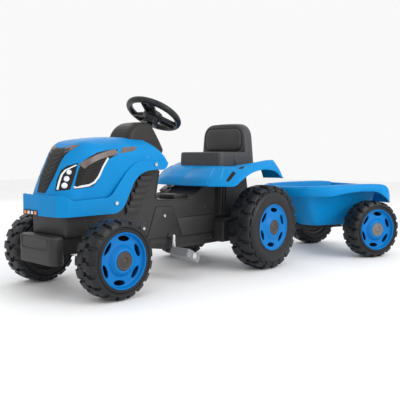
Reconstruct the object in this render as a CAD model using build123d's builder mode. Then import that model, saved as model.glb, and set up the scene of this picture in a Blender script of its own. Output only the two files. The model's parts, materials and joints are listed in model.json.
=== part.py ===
"""Pedal tractor with a single-axle trailer: chain drive, steered front wheels, sliding seat, hitched trailer.

Built in a tractor frame: X runs rearward from the front axle, Y to the tractor's right, Z up from the ground.
At the end every piece is moved to the row frame, whose origin is the bottom centre of the whole object.
Millimetres and degrees throughout.
"""

import os
from math import cos, radians, sin, tan

from build123d import *

os.makedirs("parts", exist_ok=True)

# ---------------------------------------------------------------- driving dimensions
WALL = 3.5  # moulded shells
GAP = 0.3  # clearance where two bodies lie face to face
RUNNING = 0.05  # radial clearance of a turning shaft

FRONT_WHEEL_R = 99.0
FRONT_WHEEL_W = 78.0
FRONT_RIM_R = 71.0
FRONT_LUGS = 24
REAR_WHEEL_R = 132.0
REAR_WHEEL_W = 86.0
REAR_RIM_R = 73.0
REAR_LUGS = 26
LUG_DEPTH = 6.5
LUG_GAP = 0.40  # share of the lug pitch left open
TYRE_WALL = 5.0
CAP_R = 23.5
RIM_SLOTS = 6

WHEELBASE = 588.0
FRONT_WHEEL_Y = 167.0
REAR_WHEEL_Y = 183.0
TRAILER_WHEEL_Y = 185.0
HITCH_X = WHEELBASE + 129.5
DRAWBAR_LENGTH = 408.0
TONGUE_Z = 118.0
TONGUE_THICK = 14.0
HITCH_PIN_R = 6.0
TRAILER_YAW = -23.0  # how far the trailer is turned at rest

AXLE_R = 6.0
CHASSIS_HALF = 61.0
FLOOR_Z = 106.0  # underside of the chassis over the front axle
REAR_HOUSING_HALF = 100.0
CRANK_X, CRANK_Z = 291.0, 120.0
CRANK_LENGTH = 49.0
CRANK_ARM_Y = 78.0
SPINDLE_R = 5.0
PEDAL_Y = 90.0
PEDAL_SIZE = (56.0, 70.0, 24.0)
PEDAL_TILT = 28.0
CHAIN_Y = 25.0
CHAIN_PITCH = 8.0
CHAINRING_TEETH = 22
SPROCKET_TEETH = 16
CHAIN_THICK = 3.2

KINGPIN_Y = 105.0
KINGPIN_R = 5.0
BEAM_HEIGHT = 14.0
BEAM_HALF_WIDTH = 9.0
EAR_THICK = 5.0
STEER_ARM = 45.0
DROP_ARM = 33.0
STEER_TURN = 35.0  # either way, at the steering wheel
KNUCKLE_TURN = 25.0  # either way, at the front wheels
LINK_PIN_R = 3.0
LINK_PLAY = 0.8
TIE_THICK = 5.0
COLUMN_TILT = 30.0
COLUMN_R = 8.0
WHEEL_HUB_X, WHEEL_HUB_Z = 286.0, 479.0
STEERING_RING_R = 77.0
STEERING_GRIP_R = 9.5
HUB_R = 22.0
HORN_R = 15.0

WEIGHT_X = -102.0
WEIGHT_BOTTOM = 84.0
WEIGHT_SIZE = (40.0, 158.0, 72.0)

BONNET_HALF = 92.0
BONNET_BAND = 4.0  # how far the lower band stands proud of the upper form
BONNET_BOTTOM = 204.0
SKIN = 0.8  # thickness of the inlaid trims
DASH_HALF = 48.0
DASH_CLEAR = 2.0
NECK_TOP = 350.0

DECK_Z = REAR_WHEEL_R + 191.0
DECK_HALF = 108.0
DECK_THICK = 4.0
WING_HALF = 185.0
SEAT_HALF = 91.0
SEAT_REAR_HALF = 104.0
SEAT_FRONT_X = WHEELBASE - 106.0
SEAT_BACK_X = WHEELBASE + 53.0
SEAT_SCREW_X = WHEELBASE - 28.0
SEAT_SCREW_R = 4.0
SEAT_TOP = DECK_Z + 45.0
BACKREST_TOP = DECK_Z + 139.0
BACKREST_HALF = 97.0
BACKREST_THICK = 36.0
BACK_PAD_SIZE = (152.0, 74.0)
SEAT_DISH = 16.0
SEAT_TRAVEL = 30.0

TUB_FLOOR_Z = FRONT_WHEEL_R + AXLE_R + 1.0  # just clear of the trailer's axle
TUB_TOP_Z = 270.0  # the walls are drawn to here, then cut off along the rim
TUB_WALL = 3.5
TUB_HALF = 138.0
PROW_HALF = 45.0
RIM_HALF = 186.0
TRAILER_TAIL = 508.0

# ---------------------------------------------------------------- helpers
parts = {}
chassis_top = DECK_Z - DECK_THICK


def keep(name, shape):
    """Stores a finished piece under the name of its node."""
    shape.label = name
    parts[name] = shape


def both_sides(half):
    """A piece built on the left, with its mirror image on the right."""
    return Part() + [half, half.mirror(Plane.XZ)]


def rod_between(start, end, radius):
    """A round bar from one point to another."""
    a, b = Vector(*start), Vector(*end)
    return Plane(origin=a, z_dir=b - a) * Cylinder(
        radius, (b - a).length, align=(Align.CENTER, Align.CENTER, Align.MIN)
    )


def cross_bar(x, z, radius, y_from, y_to):
    """A round bar along Y."""
    return rod_between((x, y_from, z), (x, y_to, z), radius)


def slab(points, y_from, y_to):
    """A side outline in X and Z, as thick as the span from y_from to y_to."""
    with BuildPart() as plate:
        with BuildSketch(Plane.XZ.offset(-y_to)):
            with BuildLine():
                Polyline(*points, close=True)
            make_face()
        extrude(amount=y_to - y_from)
    return plate.part


# ---------------------------------------------------------------- wheels
def make_tyre(radius, width, bead, lugs):
    """Ribbed tyre about Y: a hollow carcass with two staggered rows of lugs."""
    base = radius - LUG_DEPTH
    half = width / 2
    row = half - 2.0
    pitch = 360.0 / lugs
    gap_length = radians(pitch) * radius * LUG_GAP
    with BuildPart() as tyre:
        with BuildSketch(Plane.XY):
            with BuildLine():
                Polyline(
                    (bead, -half),
                    (bead + 7, -half),
                    (base - 5, -half + 4),
                    (base, -half + 9),
                    (base, half - 9),
                    (base - 5, half - 4),
                    (bead + 7, half),
                    (bead, half),
                    (bead, half - TYRE_WALL),
                    (base - 2 * TYRE_WALL, half - 2 * TYRE_WALL),
                    (base - TYRE_WALL, half - 3 * TYRE_WALL),
                    (base - TYRE_WALL, -half + 3 * TYRE_WALL),
                    (base - 2 * TYRE_WALL, -half + 2 * TYRE_WALL),
                    (bead, -half + TYRE_WALL),
                    close=True,
                )
            make_face()
        revolve(axis=Axis.Y)
        for start, phase in ((half, 0.0), (-2.0, pitch / 2)):
            with BuildSketch(Plane.XZ.offset(start)):
                Circle(radius)
                Circle(base - 2.0, mode=Mode.SUBTRACT)
                with PolarLocations(radius, lugs, start_angle=90 + phase + pitch / 2):
                    Rectangle(2 * LUG_DEPTH, gap_length, mode=Mode.SUBTRACT)
            extrude(amount=-row)
        with BuildSketch(Plane.XY):
            with BuildLine():
                Polyline(
                    (0, -half),
                    (bead + 10, -half),
                    (radius - 4, -half + 5),
                    (radius, -half + 12),
                    (radius, half - 12),
                    (radius - 4, half - 5),
                    (bead + 10, half),
                    (0, half),
                    close=True,
                )
            make_face()
        revolve(axis=Axis.Y, mode=Mode.INTERSECT)
    return tyre.part


def make_rim(rim_radius, width, bore):
    """Dished wheel rim about Y with its outer face towards -Y and oval slots around the boss."""
    face = -width / 2
    back = width / 2 - 4
    dish = face + 13
    web = 4.0
    slot_r = rim_radius - 13
    with BuildPart() as rim:
        with BuildSketch(Plane.XY):
            with BuildLine():
                Polyline(
                    (bore, face + 4),
                    (CAP_R + 1, face + 4),
                    (CAP_R + 1, face + 1),
                    (30, face + 1),
                    (46, dish),
                    (rim_radius - 5, dish),
                    (rim_radius - 3.5, face),
                    (rim_radius, face),
                    (rim_radius, back),
                    (rim_radius - 4, back),
                    (rim_radius - 4, dish + web),
                    (43, dish + web),
                    (27, face + 8),
                    (14, face + 8),
                    (14, back),
                    (bore, back),
                    close=True,
                )
            make_face()
        revolve(axis=Axis.Y)
        with BuildSketch(Plane.XZ.offset(width / 2)):
            with PolarLocations(slot_r, RIM_SLOTS, start_angle=90):
                SlotOverall(31, 12, rotation=90)
        extrude(amount=-(13 + 2 * web), mode=Mode.SUBTRACT)
    return rim.part


def make_cap(width):
    """Round hub cap that closes the rim's boss."""
    face = -width / 2
    with BuildPart() as cap:
        with BuildSketch(Plane.XZ.offset(width / 2 - 4)):
            Circle(CAP_R)
        extrude(amount=5)
        chamfer(cap.faces().sort_by(Axis.Y)[0].edges(), 1.5)
        with BuildSketch(Plane.XZ.offset(width / 2 + 1)):
            Circle(12)
            Circle(8, mode=Mode.SUBTRACT)
        extrude(amount=1.2)
    return cap.part


front_tyre = make_tyre(FRONT_WHEEL_R, FRONT_WHEEL_W, FRONT_RIM_R, FRONT_LUGS)
front_rim = make_rim(FRONT_RIM_R, FRONT_WHEEL_W, AXLE_R + RUNNING)
front_cap = make_cap(FRONT_WHEEL_W)
rear_tyre = make_tyre(REAR_WHEEL_R, REAR_WHEEL_W, REAR_RIM_R, REAR_LUGS)
rear_cap = make_cap(REAR_WHEEL_W)
trailer_frame = Pos(HITCH_X, 0, 0) * Rot(0, 0, TRAILER_YAW)

for side, sign in (("left", -1), ("right", 1)):
    face_out = Rot(0, 0, 0 if sign < 0 else 180)
    at_front = Pos(0, sign * FRONT_WHEEL_Y, FRONT_WHEEL_R) * face_out
    keep(f"front_tyre_{side}", at_front * front_tyre)
    keep(f"front_rim_{side}", at_front * front_rim)
    keep(f"front_cap_{side}", at_front * front_cap)
    # The left rear wheel is keyed to the axle, and the right one runs free on it.
    rear_bore = AXLE_R if sign < 0 else AXLE_R + RUNNING
    at_rear = Pos(WHEELBASE, sign * REAR_WHEEL_Y, REAR_WHEEL_R) * face_out
    keep(f"rear_tyre_{side}", at_rear * rear_tyre)
    keep(f"rear_rim_{side}", at_rear * make_rim(REAR_RIM_R, REAR_WHEEL_W, rear_bore))
    keep(f"rear_cap_{side}", at_rear * rear_cap)
    at_trailer = trailer_frame * Pos(DRAWBAR_LENGTH, sign * TRAILER_WHEEL_Y, FRONT_WHEEL_R) * face_out
    keep(f"trailer_tyre_{side}", at_trailer * front_tyre)
    keep(f"trailer_rim_{side}", at_trailer * (front_rim + front_cap))

# ---------------------------------------------------------------- steering geometry
column_axis = Vector(sin(radians(COLUMN_TILT)), 0, cos(radians(COLUMN_TILT)))
wheel_hub = Vector(WHEEL_HUB_X, 0, WHEEL_HUB_Z)


def on_column(z):
    """The point of the steering column's axis at height z."""
    return wheel_hub - column_axis * ((WHEEL_HUB_Z - z) / column_axis.Z)


# ---------------------------------------------------------------- chassis halves
beam_bottom = FLOOR_Z - BEAM_HEIGHT
steering_well = Pos(95, 0, 100) * Box(92, 96, 60)
chassis_outline = [
    (-82, FLOOR_Z),
    (-82, 240),
    (110, 240),
    (165, 305),
    (180, NECK_TOP),
    (244, NECK_TOP),
    (249, 314),
    (233, 236),
    (246, 226),
    (WHEELBASE - 204, 223),
    (WHEELBASE - 150, 262),
    (WHEELBASE - 110, chassis_top - 19),
    (WHEELBASE - 110, chassis_top),
    (WHEELBASE + 57, chassis_top),
    (WHEELBASE + 72, 240),
    (WHEELBASE + 72, 110),
    (WHEELBASE + 52, 80),
    (283, 80),
    (218, 90),
    (160, FLOOR_Z),
]
housing_outline = [
    (WHEELBASE - 100, REAR_WHEEL_R - 48),
    (WHEELBASE - 100, REAR_WHEEL_R + 14),
    (WHEELBASE - 88, REAR_WHEEL_R + 26),
    (WHEELBASE + 67, REAR_WHEEL_R + 26),
    (WHEELBASE + 67, REAR_WHEEL_R - 32),
    (WHEELBASE + 52, REAR_WHEEL_R - 48),
]
panel_line_heights = (112, 172)
bonnet_screw_low = [(65, 231), (206, 331)]


def make_chassis_half():
    """Left half of the chassis: an open dish of one wall thickness, with bosses, ribs and bearing holes."""
    with BuildPart() as half:
        for outline, depth in ((chassis_outline, CHASSIS_HALF), (housing_outline, REAR_HOUSING_HALF)):
            with BuildSketch(Plane.XZ):
                with BuildLine():
                    Polyline(*outline, close=True)
                make_face()
            extrude(amount=depth)
        outer_edges = half.edges().group_by(Axis.Y)[0]
        chamfer(outer_edges, 3.0)
        # Bosses that carry the bonnet, and the stepped engine block beside the neck.
        with BuildSketch(Plane.XZ.offset(CHASSIS_HALF - 1)):
            with Locations(*bonnet_screw_low):
                Circle(6)
        extrude(amount=BONNET_HALF - WALL - CHASSIS_HALF + 1)
        with BuildSketch(Plane.XZ.offset(CHASSIS_HALF - 1)):
            with Locations((146, 208), (164, 242), (184, 276)):
                Rectangle(46, 26)
        extrude(amount=6)
        for outline, depth in ((chassis_outline, CHASSIS_HALF), (housing_outline, REAR_HOUSING_HALF)):
            with BuildSketch(Plane.XZ):
                with BuildLine():
                    Polyline(*outline, close=True)
                make_face()
                offset(amount=-WALL, kind=Kind.INTERSECTION)
            extrude(amount=depth - WALL, mode=Mode.SUBTRACT)
        # Shaft holes: the pedal crank and the rear axle, each with room for its bush.
        with BuildSketch(Plane.XZ):
            with Locations((CRANK_X, CRANK_Z), (WHEELBASE, REAR_WHEEL_R)):
                Circle(AXLE_R + 4)
        extrude(amount=REAR_HOUSING_HALF + 5, mode=Mode.SUBTRACT)
        # Panel line and shallow skirt groove along the side.
        for z in panel_line_heights:
            with BuildSketch(Plane.XZ.offset(CHASSIS_HALF)):
                with Locations((WHEELBASE - 173, z)):
                    Rectangle(130, 2)
            extrude(amount=-1.2, mode=Mode.SUBTRACT)
    return half.part


column_passage = rod_between(
    tuple(on_column(FLOOR_Z - 10)), tuple(on_column(NECK_TOP + 60)), COLUMN_R + 6
)
seat_slot = Pos(SEAT_SCREW_X, 0, chassis_top) * Box(2 * SEAT_TRAVEL + 14, 12, 40)
chassis_half = make_chassis_half() - steering_well - column_passage - seat_slot
keep("chassis_left", chassis_half)
keep("chassis_right", chassis_half.mirror(Plane.XZ))

# ---------------------------------------------------------------- front weight, beam and kingpins
weight_depth, weight_width, weight_height = WEIGHT_SIZE
groove = 2.0
with BuildPart() as front_weight:
    with BuildSketch(Plane.XY.offset(WEIGHT_BOTTOM)):
        with Locations((WEIGHT_X, 0)):
            RectangleRounded(weight_depth, weight_width, 9)
    extrude(amount=weight_height)
    fillet(front_weight.faces().sort_by(Axis.Z)[-1].edges(), 4)
    with BuildSketch(Plane.YZ.offset(WEIGHT_X - weight_depth / 2)):
        with Locations((0, WEIGHT_BOTTOM + weight_height / 2)):
            Rectangle(110, 44)
            Rectangle(110 - 2 * groove, 44 - 2 * groove, mode=Mode.SUBTRACT)
    extrude(amount=1.5, mode=Mode.SUBTRACT)
    with BuildSketch(Plane.XY.offset(WEIGHT_BOTTOM)):
        with Locations((WEIGHT_X, 0)):
            RectangleRounded(weight_depth - 2 * WALL, weight_width - 2 * WALL, 6)
    extrude(amount=weight_height - WALL, mode=Mode.SUBTRACT)
keep("front_weight", front_weight.part)

with BuildPart() as front_axle_beam:
    with BuildSketch(Plane.XY.offset(beam_bottom)):
        SlotOverall(2 * (KINGPIN_Y + BEAM_HALF_WIDTH), 2 * BEAM_HALF_WIDTH, rotation=90)
        with Locations((0, KINGPIN_Y), (0, -KINGPIN_Y)):
            Circle(KINGPIN_R, mode=Mode.SUBTRACT)
    extrude(amount=BEAM_HEIGHT)
keep("front_axle_beam", front_axle_beam.part)

ear_gap = 1.0
lower_ear_top = beam_bottom - ear_gap
upper_ear_bottom = FLOOR_Z + ear_gap
tie_top = lower_ear_top - EAR_THICK - 1.0
with BuildPart() as kingpins:
    with BuildSketch(Plane.XY.offset(lower_ear_top - EAR_THICK - 1)):
        with Locations((0, KINGPIN_Y), (0, -KINGPIN_Y)):
            Circle(KINGPIN_R)
    extrude(amount=BEAM_HEIGHT + 2 * (EAR_THICK + ear_gap + 1))
    with BuildSketch(Plane.XY.offset(upper_ear_bottom + EAR_THICK + 0.5)):
        with Locations((0, KINGPIN_Y), (0, -KINGPIN_Y)):
            Circle(8)
    extrude(amount=3)
keep("kingpins", kingpins.part)


# ---------------------------------------------------------------- knuckles and tie rod
def make_knuckle():
    """Left steering knuckle: a fork around the beam, the stub axle, and the arm with its link pin."""
    with BuildPart() as knuckle:
        for bottom in (lower_ear_top - EAR_THICK, upper_ear_bottom):
            with BuildSketch(Plane.XY.offset(bottom)):
                with Locations((0, -KINGPIN_Y)):
                    Circle(BEAM_HALF_WIDTH)
                with Locations((0, -KINGPIN_Y - 8)):
                    Rectangle(14, 18)
            extrude(amount=EAR_THICK)
        with Locations((0, -KINGPIN_Y - 14.5, (lower_ear_top + upper_ear_bottom) / 2)):
            Box(14, 5, upper_ear_bottom - lower_ear_top + 2 * EAR_THICK)
        with BuildSketch(Plane.XZ.offset(KINGPIN_Y + 15)):
            with Locations((0, FRONT_WHEEL_R)):
                Circle(AXLE_R)
        extrude(amount=FRONT_WHEEL_Y + FRONT_WHEEL_W / 2 - 5 - KINGPIN_Y - 15)
        with BuildSketch(Plane.XY.offset(lower_ear_top - EAR_THICK)):
            with Locations((STEER_ARM / 2, -KINGPIN_Y)):
                SlotCenterToCenter(STEER_ARM, 12)
        extrude(amount=EAR_THICK)
        with BuildSketch(Plane.XY.offset(tie_top - TIE_THICK - 3)):
            with Locations((STEER_ARM, -KINGPIN_Y)):
                Circle(LINK_PIN_R)
        extrude(amount=TIE_THICK + 5)
        with BuildSketch(Plane.XY.offset(beam_bottom - 20)):
            with Locations((0, -KINGPIN_Y)):
                Circle(KINGPIN_R + RUNNING)
        extrude(amount=60, mode=Mode.SUBTRACT)
    return knuckle.part


knuckle_left = make_knuckle()
keep("knuckle_left", knuckle_left)
keep("knuckle_right", knuckle_left.mirror(Plane.XZ))

column_foot = on_column(118)
drop_direction = Vector(cos(radians(COLUMN_TILT)), 0, -sin(radians(COLUMN_TILT)))
drop_end = column_foot + drop_direction * DROP_ARM
# The link pins draw nearer to their pivots as they swing, so each sits in a fore-and-aft slot.
knuckle_draw = STEER_ARM * (1 - cos(radians(KNUCKLE_TURN)))
drop_draw = DROP_ARM * (1 - cos(radians(STEER_TURN))) / cos(radians(COLUMN_TILT))
tie_middle_z = tie_top - TIE_THICK / 2
drop_slot_x = drop_end.X - (drop_end.Z - tie_middle_z) * tan(radians(COLUMN_TILT))
drop_pin_reach = LINK_PIN_R / cos(radians(COLUMN_TILT)) + TIE_THICK / 2 * tan(radians(COLUMN_TILT))
link_slot_width = 2 * (LINK_PIN_R + LINK_PLAY)
with BuildPart() as tie_rod:
    with BuildSketch(Plane.XY.offset(tie_top - TIE_THICK)):
        with Locations((STEER_ARM, 0)):
            SlotCenterToCenter(2 * KINGPIN_Y, 18, rotation=90)
        with Locations(((STEER_ARM + drop_slot_x) / 2, 0)):
            SlotCenterToCenter(drop_slot_x - STEER_ARM, 26)
        knuckle_slot_x = STEER_ARM - knuckle_draw / 2
        with Locations((knuckle_slot_x, KINGPIN_Y), (knuckle_slot_x, -KINGPIN_Y)):
            SlotOverall(link_slot_width + knuckle_draw, link_slot_width, mode=Mode.SUBTRACT)
        with Locations((drop_slot_x - drop_draw / 2, 0)):
            SlotOverall(
                2 * (drop_pin_reach + LINK_PLAY) + drop_draw, link_slot_width, mode=Mode.SUBTRACT
            )
    extrude(amount=TIE_THICK)
keep("tie_rod", tie_rod.part)

# ---------------------------------------------------------------- steering column, wheel and horn
hub_plane = Plane(origin=wheel_hub, x_dir=(0, 1, 0), z_dir=column_axis)
column = rod_between(tuple(column_foot), tuple(wheel_hub - column_axis * 30), COLUMN_R)
column += rod_between(tuple(column_foot), tuple(drop_end), 5)
column += Pos(*column_foot) * Sphere(COLUMN_R)
column += Pos(*drop_end) * Sphere(5)
drop_tip = drop_end - column_axis * ((drop_end.Z - tie_top + TIE_THICK + 7) / column_axis.Z)
column += rod_between(tuple(drop_end), tuple(drop_tip), LINK_PIN_R)
keep("steering_column", column)

with BuildPart() as steering_wheel:
    with BuildSketch(Plane.XZ):
        with Locations((STEERING_RING_R, 0)):
            Circle(STEERING_GRIP_R)
    revolve(axis=Axis.Z)
    with BuildSketch(Plane.XY.offset(-34)):
        Circle(HUB_R)
    extrude(amount=26)
    with BuildSketch(Plane.XY.offset(-12)):
        Circle(HUB_R + 9)
    extrude(amount=16)
    with BuildSketch(Plane.XY.offset(-9)):
        with PolarLocations(STEERING_RING_R / 2, 3, start_angle=90):
            Rectangle(STEERING_RING_R, 26)
    extrude(amount=9)
    with BuildSketch(Plane.XY.offset(-4)):
        Circle(HORN_R + GAP)
    extrude(amount=20, mode=Mode.SUBTRACT)
    with BuildSketch(Plane.XY.offset(-34)):
        Circle(COLUMN_R)
    extrude(amount=4, mode=Mode.SUBTRACT)
keep("steering_wheel", hub_plane * steering_wheel.part)

with BuildPart() as horn_button:
    with BuildSketch(Plane.XY.offset(-0.5)):
        Circle(HORN_R)
    extrude(amount=8)
    fillet(horn_button.faces().sort_by(Axis.Z)[-1].edges(), 3)
keep("horn_button", hub_plane * horn_button.part)

# The upper bush sits in the dash cowl, and the lower plate spans the chassis.
upper_bush_z = 412
upper_bush = rod_between(
    tuple(on_column(upper_bush_z - 14)), tuple(on_column(upper_bush_z + 22)), COLUMN_R + 6
)
lower_plate = Pos(on_column(150).X, 0, 150) * Box(44, 2 * (CHASSIS_HALF - WALL), 8)
column_bore = rod_between(tuple(on_column(90)), tuple(on_column(470)), COLUMN_R + RUNNING)
keep("column_bearings", Part() + [upper_bush, lower_plate] - column_bore)

# ---------------------------------------------------------------- dash cowl
dash_outline = [
    (150, 352),
    (146, 405),
    (165, 424),
    (197, 447),
    (226, 450),
    (291, 381),
    (278, NECK_TOP),
    (262, NECK_TOP),
    (200, NECK_TOP),
]
with BuildPart() as dash_cowl:
    with BuildSketch(Plane.XZ):
        with BuildLine():
            Polyline(*dash_outline, close=True)
        make_face()
    extrude(amount=DASH_HALF, both=True)
    fillet(dash_cowl.faces().filter_by(Axis.Y).edges().filter_by(lambda e: e.center().Z > 392), 9)
    with BuildSketch(Plane.XZ):
        with BuildLine():
            Polyline(*dash_outline, close=True)
        make_face()
        offset(amount=-WALL, kind=Kind.INTERSECTION)
    extrude(amount=DASH_HALF - WALL - 6, both=True, mode=Mode.SUBTRACT)
keep("dash_cowl", dash_cowl.part - rod_between(tuple(on_column(340)), tuple(on_column(470)), COLUMN_R + 6))


# ---------------------------------------------------------------- bonnet
def bonnet_form(grow):
    """The bonnet's upper form, from its crest line, its plan and its end view, each grown by the same amount."""
    with BuildPart() as form:
        with BuildSketch(Plane.XZ):
            with BuildLine():
                top = ThreePointArc((200, 405), (100, 409), (0, 397))
                TangentArc((0, 397), (-60, 348), tangent=top % 1)
                Polyline((200, 405), (262, 340), (262, 150), (-104, 150), (-101, 258), (-60, 348))
            make_face()
            if grow:
                offset(amount=grow)
        extrude(amount=130, both=True)
        with BuildSketch(Plane.XY.offset(140)):
            with BuildLine():
                Polyline(
                    (-112, 0),
                    (-104, 44),
                    (-58, BONNET_HALF),
                    (300, BONNET_HALF),
                    (300, -BONNET_HALF),
                    (-58, -BONNET_HALF),
                    (-104, -44),
                    close=True,
                )
            make_face()
            fillet(vertices().filter_by(lambda v: v.X < 0 and abs(v.Y) > 1), 16)
            if grow:
                offset(amount=grow)
        extrude(amount=300, mode=Mode.INTERSECT)
        with BuildSketch(Plane.YZ.offset(-130)):
            with BuildLine():
                Polyline((BONNET_HALF, 338), (BONNET_HALF, 140), (-BONNET_HALF, 140), (-BONNET_HALF, 338))
                TangentArc((BONNET_HALF, 338), (66, 391), tangent=(0, 1))
                ThreePointArc((66, 391), (0, 412), (-66, 391))
                TangentArc((-BONNET_HALF, 338), (-66, 391), tangent=(0, 1))
            make_face()
            if grow:
                offset(amount=grow)
        extrude(amount=420, mode=Mode.INTERSECT)
    return form.part


def side_prism(points, depth=130):
    """Everything on the left whose side view lies inside the outline."""
    return slab(points, -depth, -30)


bonnet_lower_edge = [
    (-140, BONNET_BOTTOM),
    (58, BONNET_BOTTOM),
    (94, 226),
    (118, 268),
    (150, 303),
    (206, 317),
    (246, 321),
    (256, 338),
    (240, 362),
    (204, 420),
    (-140, 420),
]
band_outline = [
    (-140, BONNET_BOTTOM),
    (58, BONNET_BOTTOM),
    (94, 226),
    (118, 268),
    (150, 303),
    (206, 317),
    (246, 321),
    (256, 338),
    (226, 340),
    (140, 338),
    (112, 300),
    (60, 258),
    (14, 246),
    (-70, 243),
    (-92, 257),
    (-140, 257),
]
with BuildPart() as band:
    with BuildSketch(Plane.XY.offset(190)):
        with BuildLine():
            Polyline(
                (-113, 0),
                (-107, 78),
                (-90, BONNET_HALF + BONNET_BAND),
                (270, BONNET_HALF + BONNET_BAND),
                (270, -BONNET_HALF - BONNET_BAND),
                (-90, -BONNET_HALF - BONNET_BAND),
                (-107, -78),
                close=True,
            )
        make_face()
        fillet(vertices().filter_by(lambda v: v.X < 0 and abs(v.Y) > 1), 9)
    extrude(amount=170)
band_form = band.part & slab(band_outline, -130, 130)
upper_form = bonnet_form(0.0)
cavity = bonnet_form(-WALL)
dash_opening = Pos(225, 0, 400) * Box(2 * (225 - 146 + DASH_CLEAR), 2 * (DASH_HALF + DASH_CLEAR), 200)
bonnet = (upper_form & slab(bonnet_lower_edge, -130, 130)) + band_form
bonnet = bonnet - cavity - dash_opening
keep("bonnet", bonnet)

skin_form = bonnet_form(SKIN) - upper_form
grille_outline = Plane.YZ.offset(-140) * make_face(
    Polyline((-33, 266), (33, 266), (38, 330), (30, 372), (0, 384), (-30, 372), (-38, 330), close=True)
)
grille_skin = skin_form & extrude(grille_outline, amount=140)
keep("bonnet_grille", grille_skin)
keep("indicator_lamps", Pos(-112, 0, 211) * Box(5, 60, 10) - band_form)

lamp_outline = [(-112, 273), (-76, 273), (-50, 331), (-58, 333), (-96, 300)]
vent_outline = [(-66, 273), (-20, 277), (18, 300), (60, 360), (50, 366), (-42, 346), (-58, 300)]
trim_outline = [(-66, 266), (-16, 270), (24, 298), (64, 358), (60, 360), (18, 300), (-20, 277), (-66, 273)]
slash_outline = [(74, 352), (128, 368), (134, 376), (86, 366)]
keep("headlamps", both_sides(skin_form & slab(lamp_outline, -130, -44)))
keep("side_vents", both_sides(skin_form & (slab(vent_outline, -130, -60) + slab(slash_outline, -130, -60))))
keep("vent_trims", both_sides(skin_form & slab(trim_outline, -130, -60)))

with BuildPart() as headlamp_lenses:
    with BuildSketch(Plane.XZ.offset(120)):
        with Locations((-88, 282), (-80, 297), (-72, 312)):
            Circle(5.5)
    extrude(amount=-80)
lens_skin = (bonnet_form(SKIN + 2.5) - bonnet_form(SKIN)) & headlamp_lenses.part
keep("headlamp_lenses", both_sides(lens_skin))

# The upper screw's head follows the curve of the bonnet's shoulder, and the lower ones stand on the band.
screw_left = (bonnet_form(2 * SKIN) - upper_form) & cross_bar(178, 357, 5, -BONNET_HALF - 5, -BONNET_HALF + 20)
for x, z in bonnet_screw_low:
    screw_left += cross_bar(x, z, 5, -BONNET_HALF - BONNET_BAND - 2, -BONNET_HALF - BONNET_BAND)
keep("bonnet_screws", both_sides(screw_left))

# ---------------------------------------------------------------- crank cover panels and chassis screws
cover_outline = [(238, 208), (303, 206), (338, 115), (200, 118)]
cover = slab(cover_outline, -CHASSIS_HALF - 2.5, -CHASSIS_HALF)
cover -= cross_bar(CRANK_X, CRANK_Z, AXLE_R + 4, -CHASSIS_HALF - 5, -CHASSIS_HALF + 5)
keep("crank_covers", both_sides(cover))
screws = cross_bar(268, 181, 4, -CHASSIS_HALF - 5, -CHASSIS_HALF - 2.5)
for x, z in ((190, 150), (WHEELBASE - 140, 196), (WHEELBASE - 118, 98)):
    screws += cross_bar(x, z, 4, -CHASSIS_HALF - 2, -CHASSIS_HALF)
keep("chassis_screws", both_sides(screws))

# ---------------------------------------------------------------- crank, pedals and chain drive
bottom_z = CRANK_Z - CRANK_LENGTH
spindle_end = -PEDAL_Y - PEDAL_SIZE[1]


def make_half_crank():
    """Left half of the bent crank: axle, arm pointing down, pedal spindle and its end washer."""
    half = cross_bar(CRANK_X, CRANK_Z, AXLE_R, -CRANK_ARM_Y, 0)
    half += Pos(CRANK_X, -CRANK_ARM_Y, CRANK_Z) * Sphere(AXLE_R)
    half += rod_between((CRANK_X, -CRANK_ARM_Y, CRANK_Z), (CRANK_X, -CRANK_ARM_Y, bottom_z), AXLE_R)
    half += Pos(CRANK_X, -CRANK_ARM_Y, bottom_z) * Sphere(AXLE_R)
    half += cross_bar(CRANK_X, bottom_z, SPINDLE_R, spindle_end - 3, -CRANK_ARM_Y)
    half += cross_bar(CRANK_X, bottom_z, SPINDLE_R + 3, spindle_end - 3, spindle_end - GAP)
    return half


# The right half is the left half turned half a turn about X, so its arm points up.
left_crank = make_half_crank()
right_crank = Pos(CRANK_X, 0, CRANK_Z) * Rot(180, 0, 0) * Pos(-CRANK_X, 0, -CRANK_Z) * left_crank
keep("crank", left_crank + right_crank)

with BuildPart() as pedal:
    Box(*PEDAL_SIZE)
    fillet(pedal.edges().filter_by(Axis.Y), 5)
    chamfer(pedal.faces().filter_by(Axis.Y).edges(), 1.5)
    with BuildSketch(Plane.XY.offset(PEDAL_SIZE[2] / 2)):
        with GridLocations(0, 12, 1, 5):
            Rectangle(PEDAL_SIZE[0] - 14, 3)
    extrude(amount=-1.5, mode=Mode.SUBTRACT)
    with BuildSketch(Plane.XZ.offset(-PEDAL_SIZE[1] / 2)):
        Circle(SPINDLE_R + RUNNING)
    extrude(amount=PEDAL_SIZE[1], mode=Mode.SUBTRACT)
for side, sign in (("left", -1), ("right", 1)):
    place = Pos(CRANK_X, sign * (PEDAL_Y + PEDAL_SIZE[1] / 2), CRANK_Z + sign * CRANK_LENGTH)
    keep(f"pedal_{side}", place * Rot(0, PEDAL_TILT, 0) * pedal.part)


def pitch_radius(teeth):
    """Pitch radius of a chain wheel."""
    return CHAIN_PITCH / (2 * sin(radians(180 / teeth)))


def chain_wheel(teeth, bore):
    """Flat toothed wheel about Y."""
    tip = pitch_radius(teeth) + 1.0
    with BuildPart() as wheel:
        with BuildSketch(Plane.XZ):
            Circle(tip)
            Circle(bore, mode=Mode.SUBTRACT)
            with PolarLocations(tip + 0.6, teeth):
                Circle(2.2, mode=Mode.SUBTRACT)
        extrude(amount=2, both=True)
    return wheel.part


keep("chainring", Pos(CRANK_X, CHAIN_Y, CRANK_Z) * chain_wheel(CHAINRING_TEETH, AXLE_R))
keep("rear_sprocket", Pos(WHEELBASE, CHAIN_Y, REAR_WHEEL_R) * chain_wheel(SPROCKET_TEETH, AXLE_R))


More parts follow.
